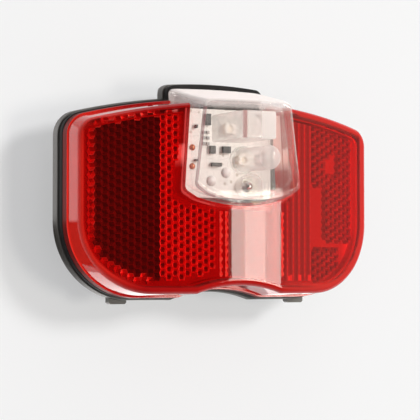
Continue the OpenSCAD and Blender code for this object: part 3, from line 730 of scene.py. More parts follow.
def lens_finish():
    """Polished red plastic: clear where it faces the front, opaque red in its walls, which carry a painted
    glow at the far left, painted light towards the right, painted shade along the top left and random cloudy
    darkening."""
    n = material("cover_red")
    x, y, z = n.place()
    cloud = n.noise(60, 2)
    red = tuple(sizes("colours").lens)
    # Painted glow for the far left and painted light for the right; painted shade for the top left
    painted_glow, painted_light_right = (0.95, 0.03, 0.02), (0.66, 0.016, 0.010)
    painted_dark, skirt_dull_red = (0.10, 0.002, 0.002), (0.20, 0.015, 0.013)
    far_left, left, far_right = -44 * MM, -30 * MM, 46 * MM
    shade = n.mix(x.between(far_left, left), painted_glow, red)
    shade = n.mix(x.between(left, far_right), shade, painted_light_right)
    # Painted shade along the top left, mixed with random cloudy darkening
    top_left_shade = z.between(8 * MM, 24 * MM) * (1 - x.between(4 * MM, 24 * MM))
    shade = n.mix(top_left_shade * 0.3 + cloud * 0.12, shade, painted_dark)
    # The skirt is a darker, duller red, standing in for the black housing behind its thin plastic
    skirt = (0 - y) < sizes("cover").flange_front - 0.1 * MM
    shade = n.mix(skirt, shade, skirt_dull_red)
    ripple = n.bump(n.noise(140, 2), 0.02 * MM, 0.25)
    mirrored = n.gloss_share() * (1 - n.attribute("inner") * 0.6)
    clear = n.blend(mirrored, n.clear((0.96, 0.40, 0.40)), n.polish(ripple))
    body = n.plastic(Base_Color=shade, Roughness=0.05, IOR=1.5)
    dull = n.plastic(Base_Color=shade, Roughness=0.4, Specular_IOR_Level=0.05)
    return n.finish(n.blend(n.attribute("wall") * 0.93 + 0.02, clear, n.blend(skirt, body, dull)))


def clear_shader(n, tint, bent, normal, dull=0.0):
    """Clear plastic as a mix: light that goes straight through a thin wall, and light that is bent; dull
    takes gloss away."""
    thin = n.blend(n.gloss_share() * (1 - dull), n.clear(tint), n.polish(normal))
    solid = n.plastic(Base_Color=tint, Roughness=0.02, IOR=1.49, Transmission_Weight=1.0, Normal=normal)
    return n.blend(bent, thin, solid)


def window_finish():
    """Polished clear plastic with a little painted pink light from the red cover round it. Painted highlights
    make its rounded edge, its top and its roof milky, the roof most where it is seen at a flat angle, and a
    painted rosy reflection runs down its left edge."""
    n = material("window_clear")
    wear = n.noise(300, 3)
    flow = n.bump(n.noise(200, 2), 0.015 * MM, 0.25)
    x, _, z = n.place()
    edge, roof = n.attribute("edge"), n.attribute("roof")
    side_x, pale, painted_rosy_reflection = 11 * MM, (0.96, 0.88, 0.86), (0.42, 0.20, 0.21)
    top = z.between(22.8 * MM, 23.6 * MM)
    left = x < -side_x
    # Painted highlight colour: pale pink, with a painted rosy reflection on the left edge below the top
    milk = n.mix(edge * left * (1 - top), pale, painted_rosy_reflection)
    haze_and_painted_sheen = n.matt(milk)
    low_right = (x > side_x) * (1 - z.between(4 * MM, 8 * MM))
    clear = clear_shader(n, (0.995, 0.985, 0.98), 0.04, flow, low_right * 0.75)
    slant = n.slant()
    # Haze share: faint random wear, plus painted highlights on the rounded edge, the roof and the top, less
    # on the lower right
    share = wear * 0.03 + edge * (left * (1 - top) * 0.3 + 0.25 - low_right * 0.2)
    share = share + roof * (slant * slant * 0.85 + 0.08) + top * 0.25
    return n.finish(n.blend(share.clamped(), clear, haze_and_painted_sheen))


def optic_finish(name, milk, tone=None):
    """Cast clear plastic with a milky share of scattered light, a number or a function of the place,
    raised by a painted highlight at the rim; tone gives the scattered light's colour from the place."""
    n = material(name)
    place = n.place()
    flow = n.bump(n.noise(260, 2), 0.02 * MM, 0.2)
    clear = clear_shader(n, (0.993, 0.99, 0.985), 0.05, flow)
    pale = (0.97, 0.95, 0.94)
    near = n.matt(tone(n, *place) if tone else pale)
    scattered = n.blend(0.5, near, n.milky(pale))
    # Painted highlight at the rim: the milky share rises where the surface is seen edge on
    rim = n.slant()
    share = n.noise(500, 2) * 0.1 + rim * rim * 0.4 + (milk(n, *place) if callable(milk) else milk)
    return n.finish(n.blend(share.clamped(), clear, scattered))


def prism_finish():
    """Red reflector facets: each facet's tone of painted light and shade comes from its attribute; over 1 it
    pales to a painted glint.
    """
    n = material("prism_red")
    tone = n.attribute("tone")
    grain = n.noise(1800, 2)
    red = tuple(sizes("colours").prism)
    # Painted light and shade: each facet's tone sets how bright its red is
    shade = n.mix((tone * (grain * 0.3 + 0.85)).clamped(), (0.002, 0.0, 0.0), red)
    # Painted glint: tones over 1 pale towards pinkish white
    shade = n.mix((tone - 1).clamped(), shade, (1.0, 0.42, 0.30))
    rough = grain * 0.2 + 0.35
    return n.finish(n.plastic(Base_Color=shade, Roughness=rough, Specular_IOR_Level=0.15))


def board_finish():
    """White solder mask with faint tracks and round pads under it."""
    n = material("board_white")
    x, _, z = n.place()
    base = tuple(sizes("colours").board)
    track = abs((x * 420 + n.noise(160, 1) * 0.9).repeat() - 0.5) < 0.05
    cross = abs((z * 310 + n.noise(140, 1) * 0.8).repeat() - 0.5) < 0.04
    cell = n.node(
        "ShaderNodeTexVoronoi", {"feature": "F1"},
        {"Vector": n.node("ShaderNodeTexCoord", output="Object"), "Scale": 330.0}, output="Distance",
    )
    pad = cell < 0.16
    shade = n.mix((track + cross).clamped() * 0.35, base, (0.56, 0.55, 0.52))
    shade = n.mix(pad * 0.8, shade, (0.45, 0.40, 0.34))
    bump = n.bump(track + cross + pad, 0.03 * MM, 0.4)
    return n.finish(n.plastic(Base_Color=shade, Roughness=n.noise(300) * 0.15 + 0.3, Normal=bump))


def grained(name, base, other, scale=900, rough=0.45, metallic=0.0):
    """A two-tone speckled surface for small parts."""
    n = material(name)
    speck = n.noise(scale, 3, 0.6)
    shade = n.mix(speck.between(0.35, 0.7), base, other)
    bump = n.bump(speck, 0.03 * MM, 0.4)
    return n.finish(
        n.plastic(Base_Color=shade, Roughness=speck * 0.2 + (rough - 0.1), Metallic=metallic, Normal=bump)
    )


def cell_finish(name, side, end):
    """Printed sleeve of a cell: dark body, a metallic band towards the button and steel at that end."""
    n = material(name)
    x, _, _ = n.place()
    along = x * side
    scuff = n.noise(700, 4, 0.65, (1, 3, 3))
    band = along.between(end - 13 * MM, end - 12.9 * MM)
    steel = along > end - 1.6 * MM
    wrap = tuple(sizes("colours").wrap)
    shade = n.mix(band, (0.03, 0.032, 0.036), wrap)
    shade = n.mix(scuff.between(0.62, 0.8) * 0.5, shade, (0.35, 0.34, 0.33))
    shade = n.mix(steel, shade, (0.7, 0.69, 0.67))
    metallic = (band * 0.85 + steel).clamped()
    return n.finish(n.plastic(Base_Color=shade, Metallic=metallic, Roughness=scuff * 0.25 + 0.2))


# Pieces


class HousingTray(bpy.types.Operator):
    """Black housing: a lofted tray with stud bosses, screw posts, pry lugs and the key's slot"""

    bl_idname = "rear_light.housing_tray"
    bl_label = "Housing tray"

    def execute(self, context):
        s = sizes("shell")
        outline = Outline()
        taper = s.wall + s.taper / 2
        inside = rounded([
            (s.plate_front, taper, s.wall + 0.4 * MM, taper),
            (s.plate_front + 1.0 * MM, taper - 0.7 * MM, s.wall + 0.3 * MM, taper - 0.7 * MM),
            (s.widest - 0.5 * MM, s.wall + 0.1 * MM, s.wall, s.wall + 0.1 * MM),
            (s.rim - 0.4 * MM, s.wall, s.wall, s.wall),
            (s.rim, s.wall, s.wall, s.wall),
            (s.rim, s.wall - 0.4 * MM, s.wall - 0.4 * MM, s.wall - 0.4 * MM),
        ])
        outside = rounded([
            (s.rim, 1.0 * MM, 1.0 * MM, 1.0 * MM),
            (s.rim, 0.2 * MM, 0.2 * MM, 0.2 * MM),
            (s.rim - 0.9 * MM, 0.1 * MM, 0.1 * MM, 0.1 * MM),
            (s.widest + 0.9 * MM, 0, 0, 0),
            (s.widest - 0.2 * MM, 0, 0, 0),
            (s.widest - 1.4 * MM, 0.2 * s.taper, 0.1 * MM, 0.2 * s.taper),
            (s.plate_back + 1.6 * MM, 0.55 * s.taper, 0.4 * MM, 0.5 * s.taper),
            (s.plate_back + 0.4 * MM, 0.75 * s.taper, 0.9 * MM, 0.66 * s.taper),
            (s.plate_back, s.taper, 1.8 * MM, 0.86 * s.taper),
        ])
        profile = np.concatenate((inside, outside))
        rings = [flat_ring(outline.housing(*row[1:]), row[0]) for row in profile]
        tray = new_object("housing_tray", *loft(rings))
        self.add_bosses(tray, outline)
        oblong = self.key_slot(outline)
        combine(tray, *oblong, "DIFFERENCE")
        finish = textured_plastic("housing_black", tuple(sizes("colours").housing))
        dress(tray, finish, "housing", ("rear_housing",))
        return {"FINISHED"}

    def add_bosses(self, tray, outline):
        """Bosses and posts are turned profiles with rounded edges; a lug is a bevelled outline in depth."""
        s = sizes("shell")
        boss = [
            (5.2 * MM, 0), (5.7 * MM, 0.05 * MM), (6.0 * MM, 0.35 * MM),
            (6.0 * MM, s.plate_back + 0.5 * MM), (0.5 * MM, s.plate_back + 0.5 * MM),
        ]
        post = [
            (2.6 * MM, s.plate_front - 0.5 * MM), (2.6 * MM, 9.2 * MM), (2.4 * MM, 9.4 * MM),
            (0.9 * MM, 9.4 * MM), (0.9 * MM, s.plate_front + 0.6 * MM),
        ]
        stud_x, post_x, post_z = 40 * MM, 16.5 * MM, 10 * MM
        lug_x, lug_half, lug_z, lug_back, lug_front = 30 * MM, 2.8 * MM, 1.2 * MM, 5.8 * MM, 8.2 * MM
        edge = float(outline.low_edge(np.array(lug_x), 0))
        low = edge - lug_z
        for side in (-1, 1):
            combine(tray, *turned(boss, (side * stud_x, 0, 0), "y"), "UNION")
            combine(tray, *turned(post, (side * post_x, 0, post_z), "y"), "UNION")
            middle = side * lug_x
            line = np.array((
                (-lug_half, edge + 0.8 * MM), (-lug_half, low + 0.5 * MM), (0.5 * MM - lug_half, low),
                (lug_half - 0.5 * MM, low), (lug_half, low + 0.5 * MM), (lug_half, edge + 0.8 * MM),
            )) + np.array((middle, 0))
            combine(tray, *loft([flat_ring(line, lug_back), flat_ring(line, lug_front)]), "UNION")

    def key_slot(self, outline):
        """A bar with round ends along X through the hump's top wall."""
        reach, radius, depth, through = 3.7 * MM, 2.6 * MM, 6.6 * MM, 4 * MM
        right = arc((reach, -depth), radius, -90, 90, 16)
        ring = np.concatenate((right, arc((-reach, -depth), radius, 90, 270, 16)))
        levels = np.array((outline.high - through, outline.high + through))
        rings = [np.column_stack((ring, np.full(len(ring), level))) for level in levels]
        return loft(rings)


class SealRing(bpy.types.Operator):
    """Black seal between rim and cover: a rounded bead carried round the outline"""

    bl_idname = "rear_light.seal_ring"
    bl_label = "Seal ring"

    def execute(self, context):
        s = sizes("shell")
        outline = Outline()
        outer, inner, edge = 0.6 * MM, s.wall + 0.1 * MM, 0.25 * MM
        bead = [
            (s.seal, inner - edge), (s.seal, outer + edge), (s.seal - 0.3 * edge, outer + 0.3 * edge),
            (s.seal - edge, outer), (s.rim + edge, outer), (s.rim + 0.3 * edge, outer + 0.3 * edge),
            (s.rim, outer + edge), (s.rim, inner - edge), (s.rim + edge, inner), (s.seal - edge, inner),
        ]
        rings = [flat_ring(outline.housing(inset, inset, inset), depth) for depth, inset in bead]
        seal = new_object("seal_ring", *loft(rings, loop=True))
        finish = rubber("seal_black", tuple(sizes("colours").seal))
        dress(seal, finish, "housing", ("lens_seal",), 50)
        return {"FINISHED"}


def window_low(half, sill):
    """Right half of the window's lower edge: a round corner and a bowed sill."""
    c = sizes("cover")
    centre = (half - c.window_corner, sill + c.sill_rise + c.window_corner)
    share = ((np.arange(WINDOW_POINTS, 0, -1) - 0.5) * EDGE_SHARE / WINDOW_POINTS)[:, None]
    bow = np.column_stack((share * half, sill + c.sill_rise * share**2))
    return np.concatenate((arc(centre, c.window_corner, 0, -65, WINDOW_POINTS), bow))


def window_high(half, top):
    """Right half of the window's upper edge: a crowned roof and a round corner."""
    c = sizes("cover")
    share = ((np.arange(1, WINDOW_POINTS + 1) - 0.5) * EDGE_SHARE / WINDOW_POINTS)[:, None]
    roof = np.column_stack((share * half, top - ROOF_CROWN * share**2))
    centre = (half - c.window_corner, top - ROOF_CROWN - c.window_corner)
    return np.concatenate((roof, arc(centre, c.window_corner, 85, 0, WINDOW_POINTS)))


def sill_z(x):
    """Height of the bowed sill at X."""
    c = sizes("cover")
    return c.sill + c.sill_rise * (x / (c.window_width / 2)) ** 2


def side_half(z):
    """Half the window's width at a height: straight sides that lean inwards."""
    c = sizes("cover")
    return c.window_width / 2 - SIDE_LEAN * (z - (c.sill + c.sill_rise + c.window_corner))


def roof_z(depth):
    """Height of the roof at a depth: a straight fall towards the front."""
    c = sizes("cover")
    return c.roof - c.roof_fall * (depth - c.flange_back) / (c.window_front - c.flange_back)


def window_ring(half, top_half, top, sill, low_depth, top_depth):
    """A ring of the window whose depth runs evenly from the sill to the roof."""
    outline = closed(window_high(top_half, top), window_low(half, sill))
    depth = low_depth + (top_depth - low_depth) * (outline[:, 1] - sill) / (top - sill)
    return np.column_stack((outline[:, 0], -depth, outline[:, 1]))


def window_face(inset, depth):
    """A ring of the window at its front, drawn in by an inset."""
    c = sizes("cover")
    draft, lift = 0.6 * MM, 0.5 * MM
    return window_ring(
        c.window_width / 2 - draft - inset, c.window_top / 2 - inset,
        roof_z(depth) - inset, c.sill + lift + inset, depth, depth,
    )


def window_root(inset, low_depth, top_depth):
    """A ring of the window where it goes through the cover, drawn in by an inset."""
    c = sizes("cover")
    top = roof_z(top_depth)
    return window_ring(
        c.window_width / 2 - inset, side_half(top - c.window_corner - ROOF_CROWN) - inset,
        top - inset, c.sill + inset, low_depth, top_depth,
    )


def window_opening(clearance):
    """A bar with the window's sill and sides, drawn outwards by a clearance, to cut the cover."""
    c = sizes("cover")
    beyond = 20 * MM
    far_z = c.roof + beyond
    low = window_low(c.window_width / 2 + clearance, c.sill - clearance)
    far_x = side_half(far_z) + clearance
    ring = np.concatenate((low, low[::-1] * FLIP_X, [(-far_x, far_z), (far_x, far_z)]))
    return loft([flat_ring(ring, 0), flat_ring(ring, c.window_front + beyond)])


class CoverLens(bpy.types.Operator):
    """Red cover: a convex front, a rounded edge, a stepped skirt and a spigot, cut by the window"""

    bl_idname = "rear_light.cover_lens"
    bl_label = "Cover lens"

    def execute(self, context):
        c = sizes("cover")
        outline = Outline()
        skirt_drop = 0.3 * MM
        turn = np.radians(np.linspace(0, 90, 9))
        insets = c.lens_inset + c.edge_radius * (1 - np.sin(turn))
        behinds = c.edge_radius * (1 - np.cos(turn))
        rings = [front_ring(outline.cover(i, COVER_DROP), b) for i, b in zip(insets, behinds)]
        skirt = rounded([
            (1.3, skirt_drop, c.flange_front + 0.3 * MM), (1.3, skirt_drop, c.flange_front),
            (1.1, skirt_drop, c.flange_front), (0.9, skirt_drop, c.flange_front),
            (0.88, skirt_drop, c.flange_front - 0.25 * MM), (0.72, skirt_drop, c.flange_back + 0.2 * MM),
            (0.7, skirt_drop, c.flange_back), (0.95, skirt_drop, c.flange_back),
        ], 1)
        inner = [
            (2.5, 0, c.flange_back), (2.5, 0, c.spigot_back + 0.3 * MM), (2.8, 0, c.spigot_back),
            (3.7, 0, c.spigot_back), (3.7, skirt_drop, c.flange_front),
        ]
        for inset, lower, depth in (*skirt, *inner):
            rings.append(flat_ring(outline.cover(inset * MM, lower), depth))
        rings.append(front_ring(outline.cover(c.lens_inset + c.lens_wall, COVER_DROP), c.lens_wall))
        rings = np.asarray(rings)
        points = rings.reshape(-1, 3)
        faces = walls(rings).tolist()
        points, lid = front_lid(points, 0, 0)
        faces += lid
        front = np.r_[0:len(turn) * rings.shape[1], rings.size // 3:len(points)]
        lean_height, lean = 3.6 * MM, 0.2
        lower = lean_height - points[front, 2] + outline.low_edge(np.abs(points[front, 0]), 0)
        points[front, 1] += lean * np.maximum(lower, 0)
        points, lid = front_lid(points, (len(rings) - 1) * rings.shape[1], c.lens_wall)
        faces += lid
        lens = new_object("cover_lens", points, faces)
        combine(lens, *window_opening(0.1 * MM), "DIFFERENCE")
        mark_walls(lens.data)
        dress(lens, lens_finish(), "lens_cover", ("red_lens",), 40, shadow=False)
        self.collar()
        return {"FINISHED"}

    def collar(self):
        """A thin wall behind the opening for the window: a bar carried along the sill and the sides. Its
        upper part is painted pale with light and lets some light through.
        """
        c = sizes("cover")
        back, front, top = 16.8 * MM, 26.4 * MM, 23 * MM
        lines = []
        for clearance in (0.4 * MM, 0.9 * MM):
            low = window_low(c.window_width / 2 + clearance, c.sill - clearance)
            end = (side_half(top) + clearance, top)
            line = np.concatenate(([end], low, low[::-1] * FLIP_X, [(-end[0], top)]))
            lines += [flat_ring(line, front), flat_ring(line, back)]
        wall = new_object("window_collar", *loft(np.stack([lines[k] for k in (0, 1, 3, 2)], axis=1)))
        n = material("collar_red")
        _, y, z = n.place()
        cloud = n.noise(150, 3)
        # Painted pale light on the wall above the sill, kept off the top of its front; the pale part also
        # lets light through
        upper_front = (0 - y).between(21 * MM, 22 * MM) * z.between(12 * MM, 13 * MM)
        pale = z.between(6 * MM, 9 * MM) * (1 - upper_front)
        shade = n.mix(pale, n.mix(cloud, (0.50, 0.012, 0.012), (0.62, 0.03, 0.028)), (0.95, 0.70, 0.67))
        skin = n.plastic(Base_Color=shade, Roughness=cloud * 0.2 + 0.2)
        finish = n.finish(n.blend(pale * 0.5, skin, n.milky((0.95, 0.66, 0.62))))
        dress(wall, finish, "lens_cover", shadow=False)


class LampWindow(bpy.types.Operator):
    """Clear window: a box with a falling roof, a bowed sill and a rounded front edge"""

    bl_idname = "rear_light.lamp_window"
    bl_label = "Lamp window"

    def execute(self, context):
        c = sizes("cover")
        turn = np.radians(np.linspace(0, 90, 7))
        insets = c.window_edge * (1 - np.sin(turn))
        depths = c.window_front - c.window_edge * (1 - np.cos(turn))
        flat, bevel = 0.3 * MM, 0.4 * MM
        inner_front = c.window_front - c.window_wall
        rings = [window_face(c.window_edge + flat, c.window_front)]
        rings += [window_face(inset, depth) for inset, depth in zip(insets, depths)]
        rings += [
            window_root(0, c.window_base, c.window_base),
            window_root(0, c.window_back, c.flange_back),
            window_root(c.window_wall, c.window_back, c.flange_back),
            window_root(c.window_wall, c.window_base, c.window_base),
            window_face(c.window_wall, inner_front - bevel),
            window_face(c.window_wall + bevel, inner_front),
            window_face(c.window_wall + bevel + flat, inner_front),
        ]
        window = new_object("lamp_window", *loft(rings))
        self.mark_edges(window.data)
        dress(window, window_finish(), "lens_cover", ("clear_window",), 40, shadow=False)
        return {"FINISHED"}

    def mark_edges(self, mesh):
        """Stores as attributes which points lie on the rounded front edge and which on the roof."""
        c = sizes("cover")
        normal, place = vertex_vectors(mesh, "normal"), vertex_vectors(mesh, "co")
        slant, edge_back = np.abs(normal[:, 1]), c.window_front - 1.2 * c.window_edge
        upwards, roof_low = 0.5, 18 * MM
        store(mesh, "edge", (slant > 0.25) & (slant < 0.97) & (-place[:, 1] > edge_back))
        store(mesh, "roof", (normal[:, 2] > upwards) & (place[:, 2] > roof_low))


class Reflectors(bpy.types.Operator):
    """Reflector panels: cube corners on a hexagonal lattice, a smooth band, flutes and the backing"""

    bl_idname = "rear_light.reflectors"
    bl_label = "Reflectors"

    def execute(self, context):
        r = sizes("reflector")
        finish = prism_finish()
        rng = np.random.default_rng(7)
        edge = sizes("shell").width / 2
        low, high, wide = -25.2 * MM, -6.2 * MM, 1.1 * MM
        strips = [self.teeth(x, x + wide, low, high, rng) for x in (-6.2 * MM, -4.4 * MM, 14.8 * MM)]
        panels = (
            ("left_reflector", [self.cells(-edge, r.block, rng)], "left_prism_panel"),
            (
                "centre_reflector",
                [self.cells(r.block, r.flute_from, rng), self.band(), self.flutes(), *strips],
                "centre_prism_panel",
            ),
            ("right_reflector", [self.cells(r.flute_to, edge, rng)], "right_prism_panel"),
        )
        for name, parts, node in panels:
            panel = new_object(name, *joined(*(part[:2] for part in parts)))
            store(panel.data, "tone", np.concatenate([part[2] for part in parts]), "FACE")
            dress(panel, finish, "lens_cover", (node,), 5, shadow=False)
        self.backing()
        return {"FINISHED"}

    def lattice(self, column, row, behind):
        """A lattice point: half a hexagon's radius along the front and half a pitch upwards a step."""
        r, c = sizes("reflector"), sizes("cover")
        hex_r = r.pitch / math.sqrt(3)
        radius = c.lens_radius - r.behind
        turn = column * hex_r / 2 / radius
        axis = c.lens_depth - c.lens_radius
        reach = radius - behind
        first_row = -24.17 * MM
        height = first_row + row * r.pitch / 2
        return np.stack((reach * np.sin(turn), -axis - reach * np.cos(turn), height + 0 * reach), axis=-1)

    def in_field(self, x, z, x_min, x_max, grow=0.0):
        """Whether a hexagon with this middle lies inside the panel and clear of the window's bezel;
        grow widens the field."""
        r = sizes("reflector")
        reach = r.pitch / 2
        sill_gap, left_gain, right_gain, top_gain = 1.2 * MM, 0.3 * MM, 1.8 * MM, 1.7 * MM
        clear = (np.abs(x) - reach > side_half(z) + r.bezel) | (z + reach < sill_z(x) - sill_gap)
        border = np.where(x < r.flute_from, r.border - left_gain, r.border - right_gain)
        upper_left = (z > 8 * MM) & (x > -43 * MM) & (x < 0)
        border -= np.where(upper_left, top_gain, 0)
        inside = Outline().inside(x, z) > border + reach - grow
        return (x > x_min) & (x < x_max) & inside & clear

    def cells(self, x_min, x_max, rng):
        """Closed hexagonal cells with a faceted front. A cell's middle stands furthest back, every other
        corner half as far and the corners between are valleys; an inner hexagon splits each facet in two
        tones of painted light and shade."""
        r = sizes("reflector")
        hex_r = r.pitch / math.sqrt(3)
        depth = math.sqrt(2) * hex_r
        span = int(sizes("shell").width / hex_r)
        columns, rows = np.meshgrid(np.arange(-span, span + 1), np.arange(-8, 64), indexing="ij")
        even = (columns + rows) % 2 == 0
        columns, rows = 3 * columns[even], rows[even]
        middle = self.lattice(columns, rows, np.zeros(columns.shape))
        field = self.in_field(middle[:, 0], middle[:, 2], x_min, x_max)
        fringe = 1.9 * MM
        border = self.in_field(middle[:, 0], middle[:, 2], x_min, min(x_max, r.block), fringe)
        keep = (field | border) & self.patches(middle[:, 0], middle[:, 2])
        columns, rows, middle = columns[keep], rows[keep], middle[keep]
        tones, inner = self.tones(middle[:, 0], middle[:, 2], field[keep], rng)
        step = np.array(((2, 0), (1, 1), (-1, 1), (-2, 0), (-1, -1), (1, -1)))
        corner_c = columns[:, None] + step[:, 0]
        corner_r = rows[:, None] + step[:, 1]
        back = np.array((1.0, 0.0, 0.5))[corner_c % 3] * depth + r.valley
        apex = self.lattice(columns, rows, np.full(columns.shape, r.valley + depth))
        outer = self.lattice(corner_c, corner_r, back)
        share = inner[:, None, None]
        ring = apex[:, None] * (1 - share) + outer * share
        front = np.concatenate((apex[:, None], ring, outer), axis=1)
        shift = np.array((0, r.sheet, 0))
        flat_outer = self.lattice(corner_c, corner_r, np.full(corner_c.shape, r.valley + depth)) + shift
        flat_apex = apex + shift
        points = np.concatenate((front, flat_apex[:, None], flat_outer), axis=1)
        size = points.shape[1]
        # A cell's points: its middle, inner and outer corners, and the middle and corners of its flat back
        first_inner, first_outer, flat_middle, first_flat = 1, 7, 13, 14
        k = np.arange(6)
        ahead = (k + 1) % 6
        centre = np.zeros(6, int)
        inner_k, inner_on = first_inner + k, first_inner + ahead
        outer_k, outer_on = first_outer + k, first_outer + ahead
        flat_k, flat_on = first_flat + k, first_flat + ahead
        triangles = np.column_stack((centre, inner_k, inner_on))
        bands = np.column_stack((inner_k, outer_k, outer_on, inner_on))
        lids = np.column_stack((centre + flat_middle, flat_on, flat_k))
        rims = np.column_stack((outer_k, flat_k, flat_on, outer_on))
        start = (np.arange(len(points)) * size)[:, None, None]
        faces, tone = [], []
        back_tone = 0 * k + 0.2
        groups = ((triangles, tones[:, :6]), (bands, tones[:, 6:]), (lids, back_tone), (rims, tones[:, 6:]))
        for group, shade in groups:
            faces += (start + group).reshape(-1, group.shape[1]).tolist()
            tone.append(np.broadcast_to(shade, (len(points), 6)).ravel())
        return points.reshape(-1, 3), faces, np.concatenate(tone)

    def patches(self, x, z):
        """Where prisms stand: everywhere but on the middle band, on the strips beside it and on the plain
        parts of the right field, of which one is round."""
        r = sizes("reflector")
        strips = (x < r.bright_to) | (x > r.flute_from)
        round_x, round_z, radius = 36.4 * MM, 8.6 * MM, 3.2 * MM
        upper_low, middle_low, lower_high = 1.5 * MM, -14.5 * MM, -17.5 * MM
        upper = (z > upper_low) & (np.hypot(x - round_x, z - round_z) > radius)
        middle = (z > middle_low) & (z < upper_low) & (x > 33.6 * MM)
        lower = (z < lower_high) & (x < 39 * MM)
        return strips & ((x < r.flute_to) | upper | middle | lower)

    def tones(self, x, z, field, rng):
        """Tones of painted light and shade for a cell's six inner and six outer facets, and the size of its
        inner hexagon.
        """
        r = sizes("reflector")
        count = len(x)
        jitter = rng.uniform(0.85, 1.15, (count, 12))
        middle = np.radians(np.arange(6) * 60 + 30)
        # The bright field: painted light, with painted highlights on the facets towards the left and right
        # corners and darker painted dots in the middle
        inner_tone = np.full((count, 6), 0.29)
        outer_tone = np.broadcast_to(0.88 + 0.40 * np.cos(middle) ** 4, (count, 6)).copy()
        inner = np.full(count, 0.6)
        # The dark block: its facets are painted dark, a painted reflection of the dark room that the prisms
        # send back
        painted_dark = x < r.block
        inner_tone[painted_dark] = 0.135 * np.array((1.0, 0.9, 0.8, 0.9, 1.2, 1.15))
        outer_tone[painted_dark] = 0.145 * np.array((1.0, 0.8, 0.8, 1.0, 1.8, 1.8))
        inner[painted_dark] = 0.86
        # The fringe round the block, whose facets carry painted glints on the side of the block's middle
        block_x, block_z = -33 * MM, -4 * MM
        towards = np.arctan2(block_z - z, block_x - x)[:, None]
        painted_glint = np.cos(middle - towards) > 0.4
        inner_tone[~field] = np.where(painted_glint, 1.15, 0.5)[~field]
        outer_tone[~field] = np.where(painted_glint, 1.7, 0.5)[~field]
        # The right field: an even painted level of light, darker in the inner hexagons
        right = x > r.flute_to
        inner_tone[right] = 0.32
        outer_tone[right] = 0.64
        return np.concatenate((inner_tone, outer_tone), axis=1) * jitter, inner

    def plate(self, x, height, behind, thick, tone):
        """A closed sheet over a grid that follows the front: front faces with tones, back and rim dark."""
        front = np.stack((x, behind - lens_front(x), height), axis=-1)
        back = front + np.array((0, thick, 0))
        rows, cols = x.shape
        points = np.concatenate((front.reshape(-1, 3), back.reshape(-1, 3)))
        grid = np.arange(rows * cols).reshape(rows, cols)
        quads = np.stack((grid[:-1, :-1], grid[:-1, 1:], grid[1:, 1:], grid[1:, :-1]), axis=-1).reshape(-1, 4)
        edge = np.concatenate((grid[0], grid[1:, -1], grid[-1, -2::-1], grid[-2:0:-1, 0]))
        ahead, under = np.roll(edge, -1), rows * cols
        rims = np.column_stack((edge, ahead, ahead + under, edge + under))
        shade = np.concatenate((tone.ravel(), np.full(len(quads) + len(rims), 0.25)))
        return points, quads.tolist() + (quads[:, ::-1] + under).tolist() + rims.tolist(), shade

    def teeth(self, x0, x1, low, high, rng):
        """An upright strip with a row of small teeth: its right edge runs in and out once a pitch. Its front
        carries painted glints.
        """
        r = sizes("reflector")
        proud, thick = 0.15 * MM, 0.3 * MM
        height = np.arange(low, high, r.pitch / 4)
        out = np.array((0.35, 1.0, 0.8, 0.1))[np.arange(len(height)) % 4]
        share = np.linspace(0, 1, 3)
        x = x0 + (x1 - x0) * share * (0.45 + 0.55 * out[:, None])
        # Painted glints: tones over 1 pale towards white
        tone = rng.uniform(1.0, 2.0, (len(height) - 1, 2))
        return self.plate(x, height[:, None] + 0 * x, r.behind - proud + 0 * x, thick, tone)

    def band(self):
        """The smooth middle band: painted light brightens it to the right, and it holds a net of darker
        painted dots, the sum of three cosines at 60 degrees to each other."""
        r = sizes("reflector")
        low_gain, sill_gap, sunk, thick = 1.6 * MM, 0.4 * MM, 0.5 * MM, 0.6 * MM
        across = np.arange(r.band_from, r.flute_from, r.pitch / 8)
        low = Outline().low_edge(np.abs(across), 0) + r.border - low_gain
        sill = sill_z(across) - sill_gap
        height = low + (sill - low) * np.linspace(0, 1, 80)[:, None]
        x = across + 0 * height
        turns = np.radians((0, 60, 120))[:, None, None]
        along = x * np.cos(turns) + height * np.sin(turns)
        net = np.cos(4 * np.pi / (math.sqrt(3) * r.pitch) * along).sum(0)
        net_x, net_half = 9.2 * MM, 3.4 * MM
        dots = (net > 1.2) & (np.abs(x - net_x) < net_half)
        # Painted light that brightens to the right, darker where the painted dots fall
        tone = (0.10 + 0.32 * rise(x, r.band_from, 18 * MM) ** 1.5) * np.where(dots, 0.7, 1)
        return self.plate(x, height, r.behind + sunk + 0 * x, thick, tone[:-1, :-1])

    def flutes(self):
        """Upright flutes: a rectified cosine across, with a dotted painted highlight along each crest and a
        row of painted glints at the foot."""
        r = sizes("reflector")
        outline = Outline()
        low_gain, sill_gap, window_gap = 0.4 * MM, 2.1 * MM, 2.4 * MM
        crest_x, sunk, deep, thick = 20 * MM, 0.2 * MM, 0.3 * MM, 1.2 * MM
        foot_x, foot_pitch, foot_tall = 18.9 * MM, 3.7 * MM, 1.2 * MM
        across = np.arange(r.flute_from, r.flute_to, r.flute_pitch / 12)
        low = outline.low_edge(across, 0) + r.border - low_gain
        top = outline.top_edge(across, 0) - r.border
        sill = sill_z(across) - sill_gap
        top = np.where(across < side_half(top) + window_gap, sill, top)
        share = np.linspace(0, 1, 80)[:, None]
        height = low + (top - low) * share
        wave = np.abs(np.cos(np.pi * (across - crest_x) / r.flute_pitch)) + 0 * height
        behind = r.behind + r.valley + sunk + deep * (1 - wave)
        # Painted highlight along each crest, dotted, and painted glints at the foot
        dotted = 0.6 + 0.4 * (np.floor(height / (r.pitch / 2)) % 2)
        tone = 0.35 + 0.45 * wave**16 * dotted
        foot = (height < low + foot_tall) & (np.cos(2 * np.pi * (across - foot_x) / foot_pitch) > 0.3)
        tone = np.where(foot, 1.1, tone)
        return self.plate(across + 0 * height, height, behind, thick, tone[:-1, :-1])

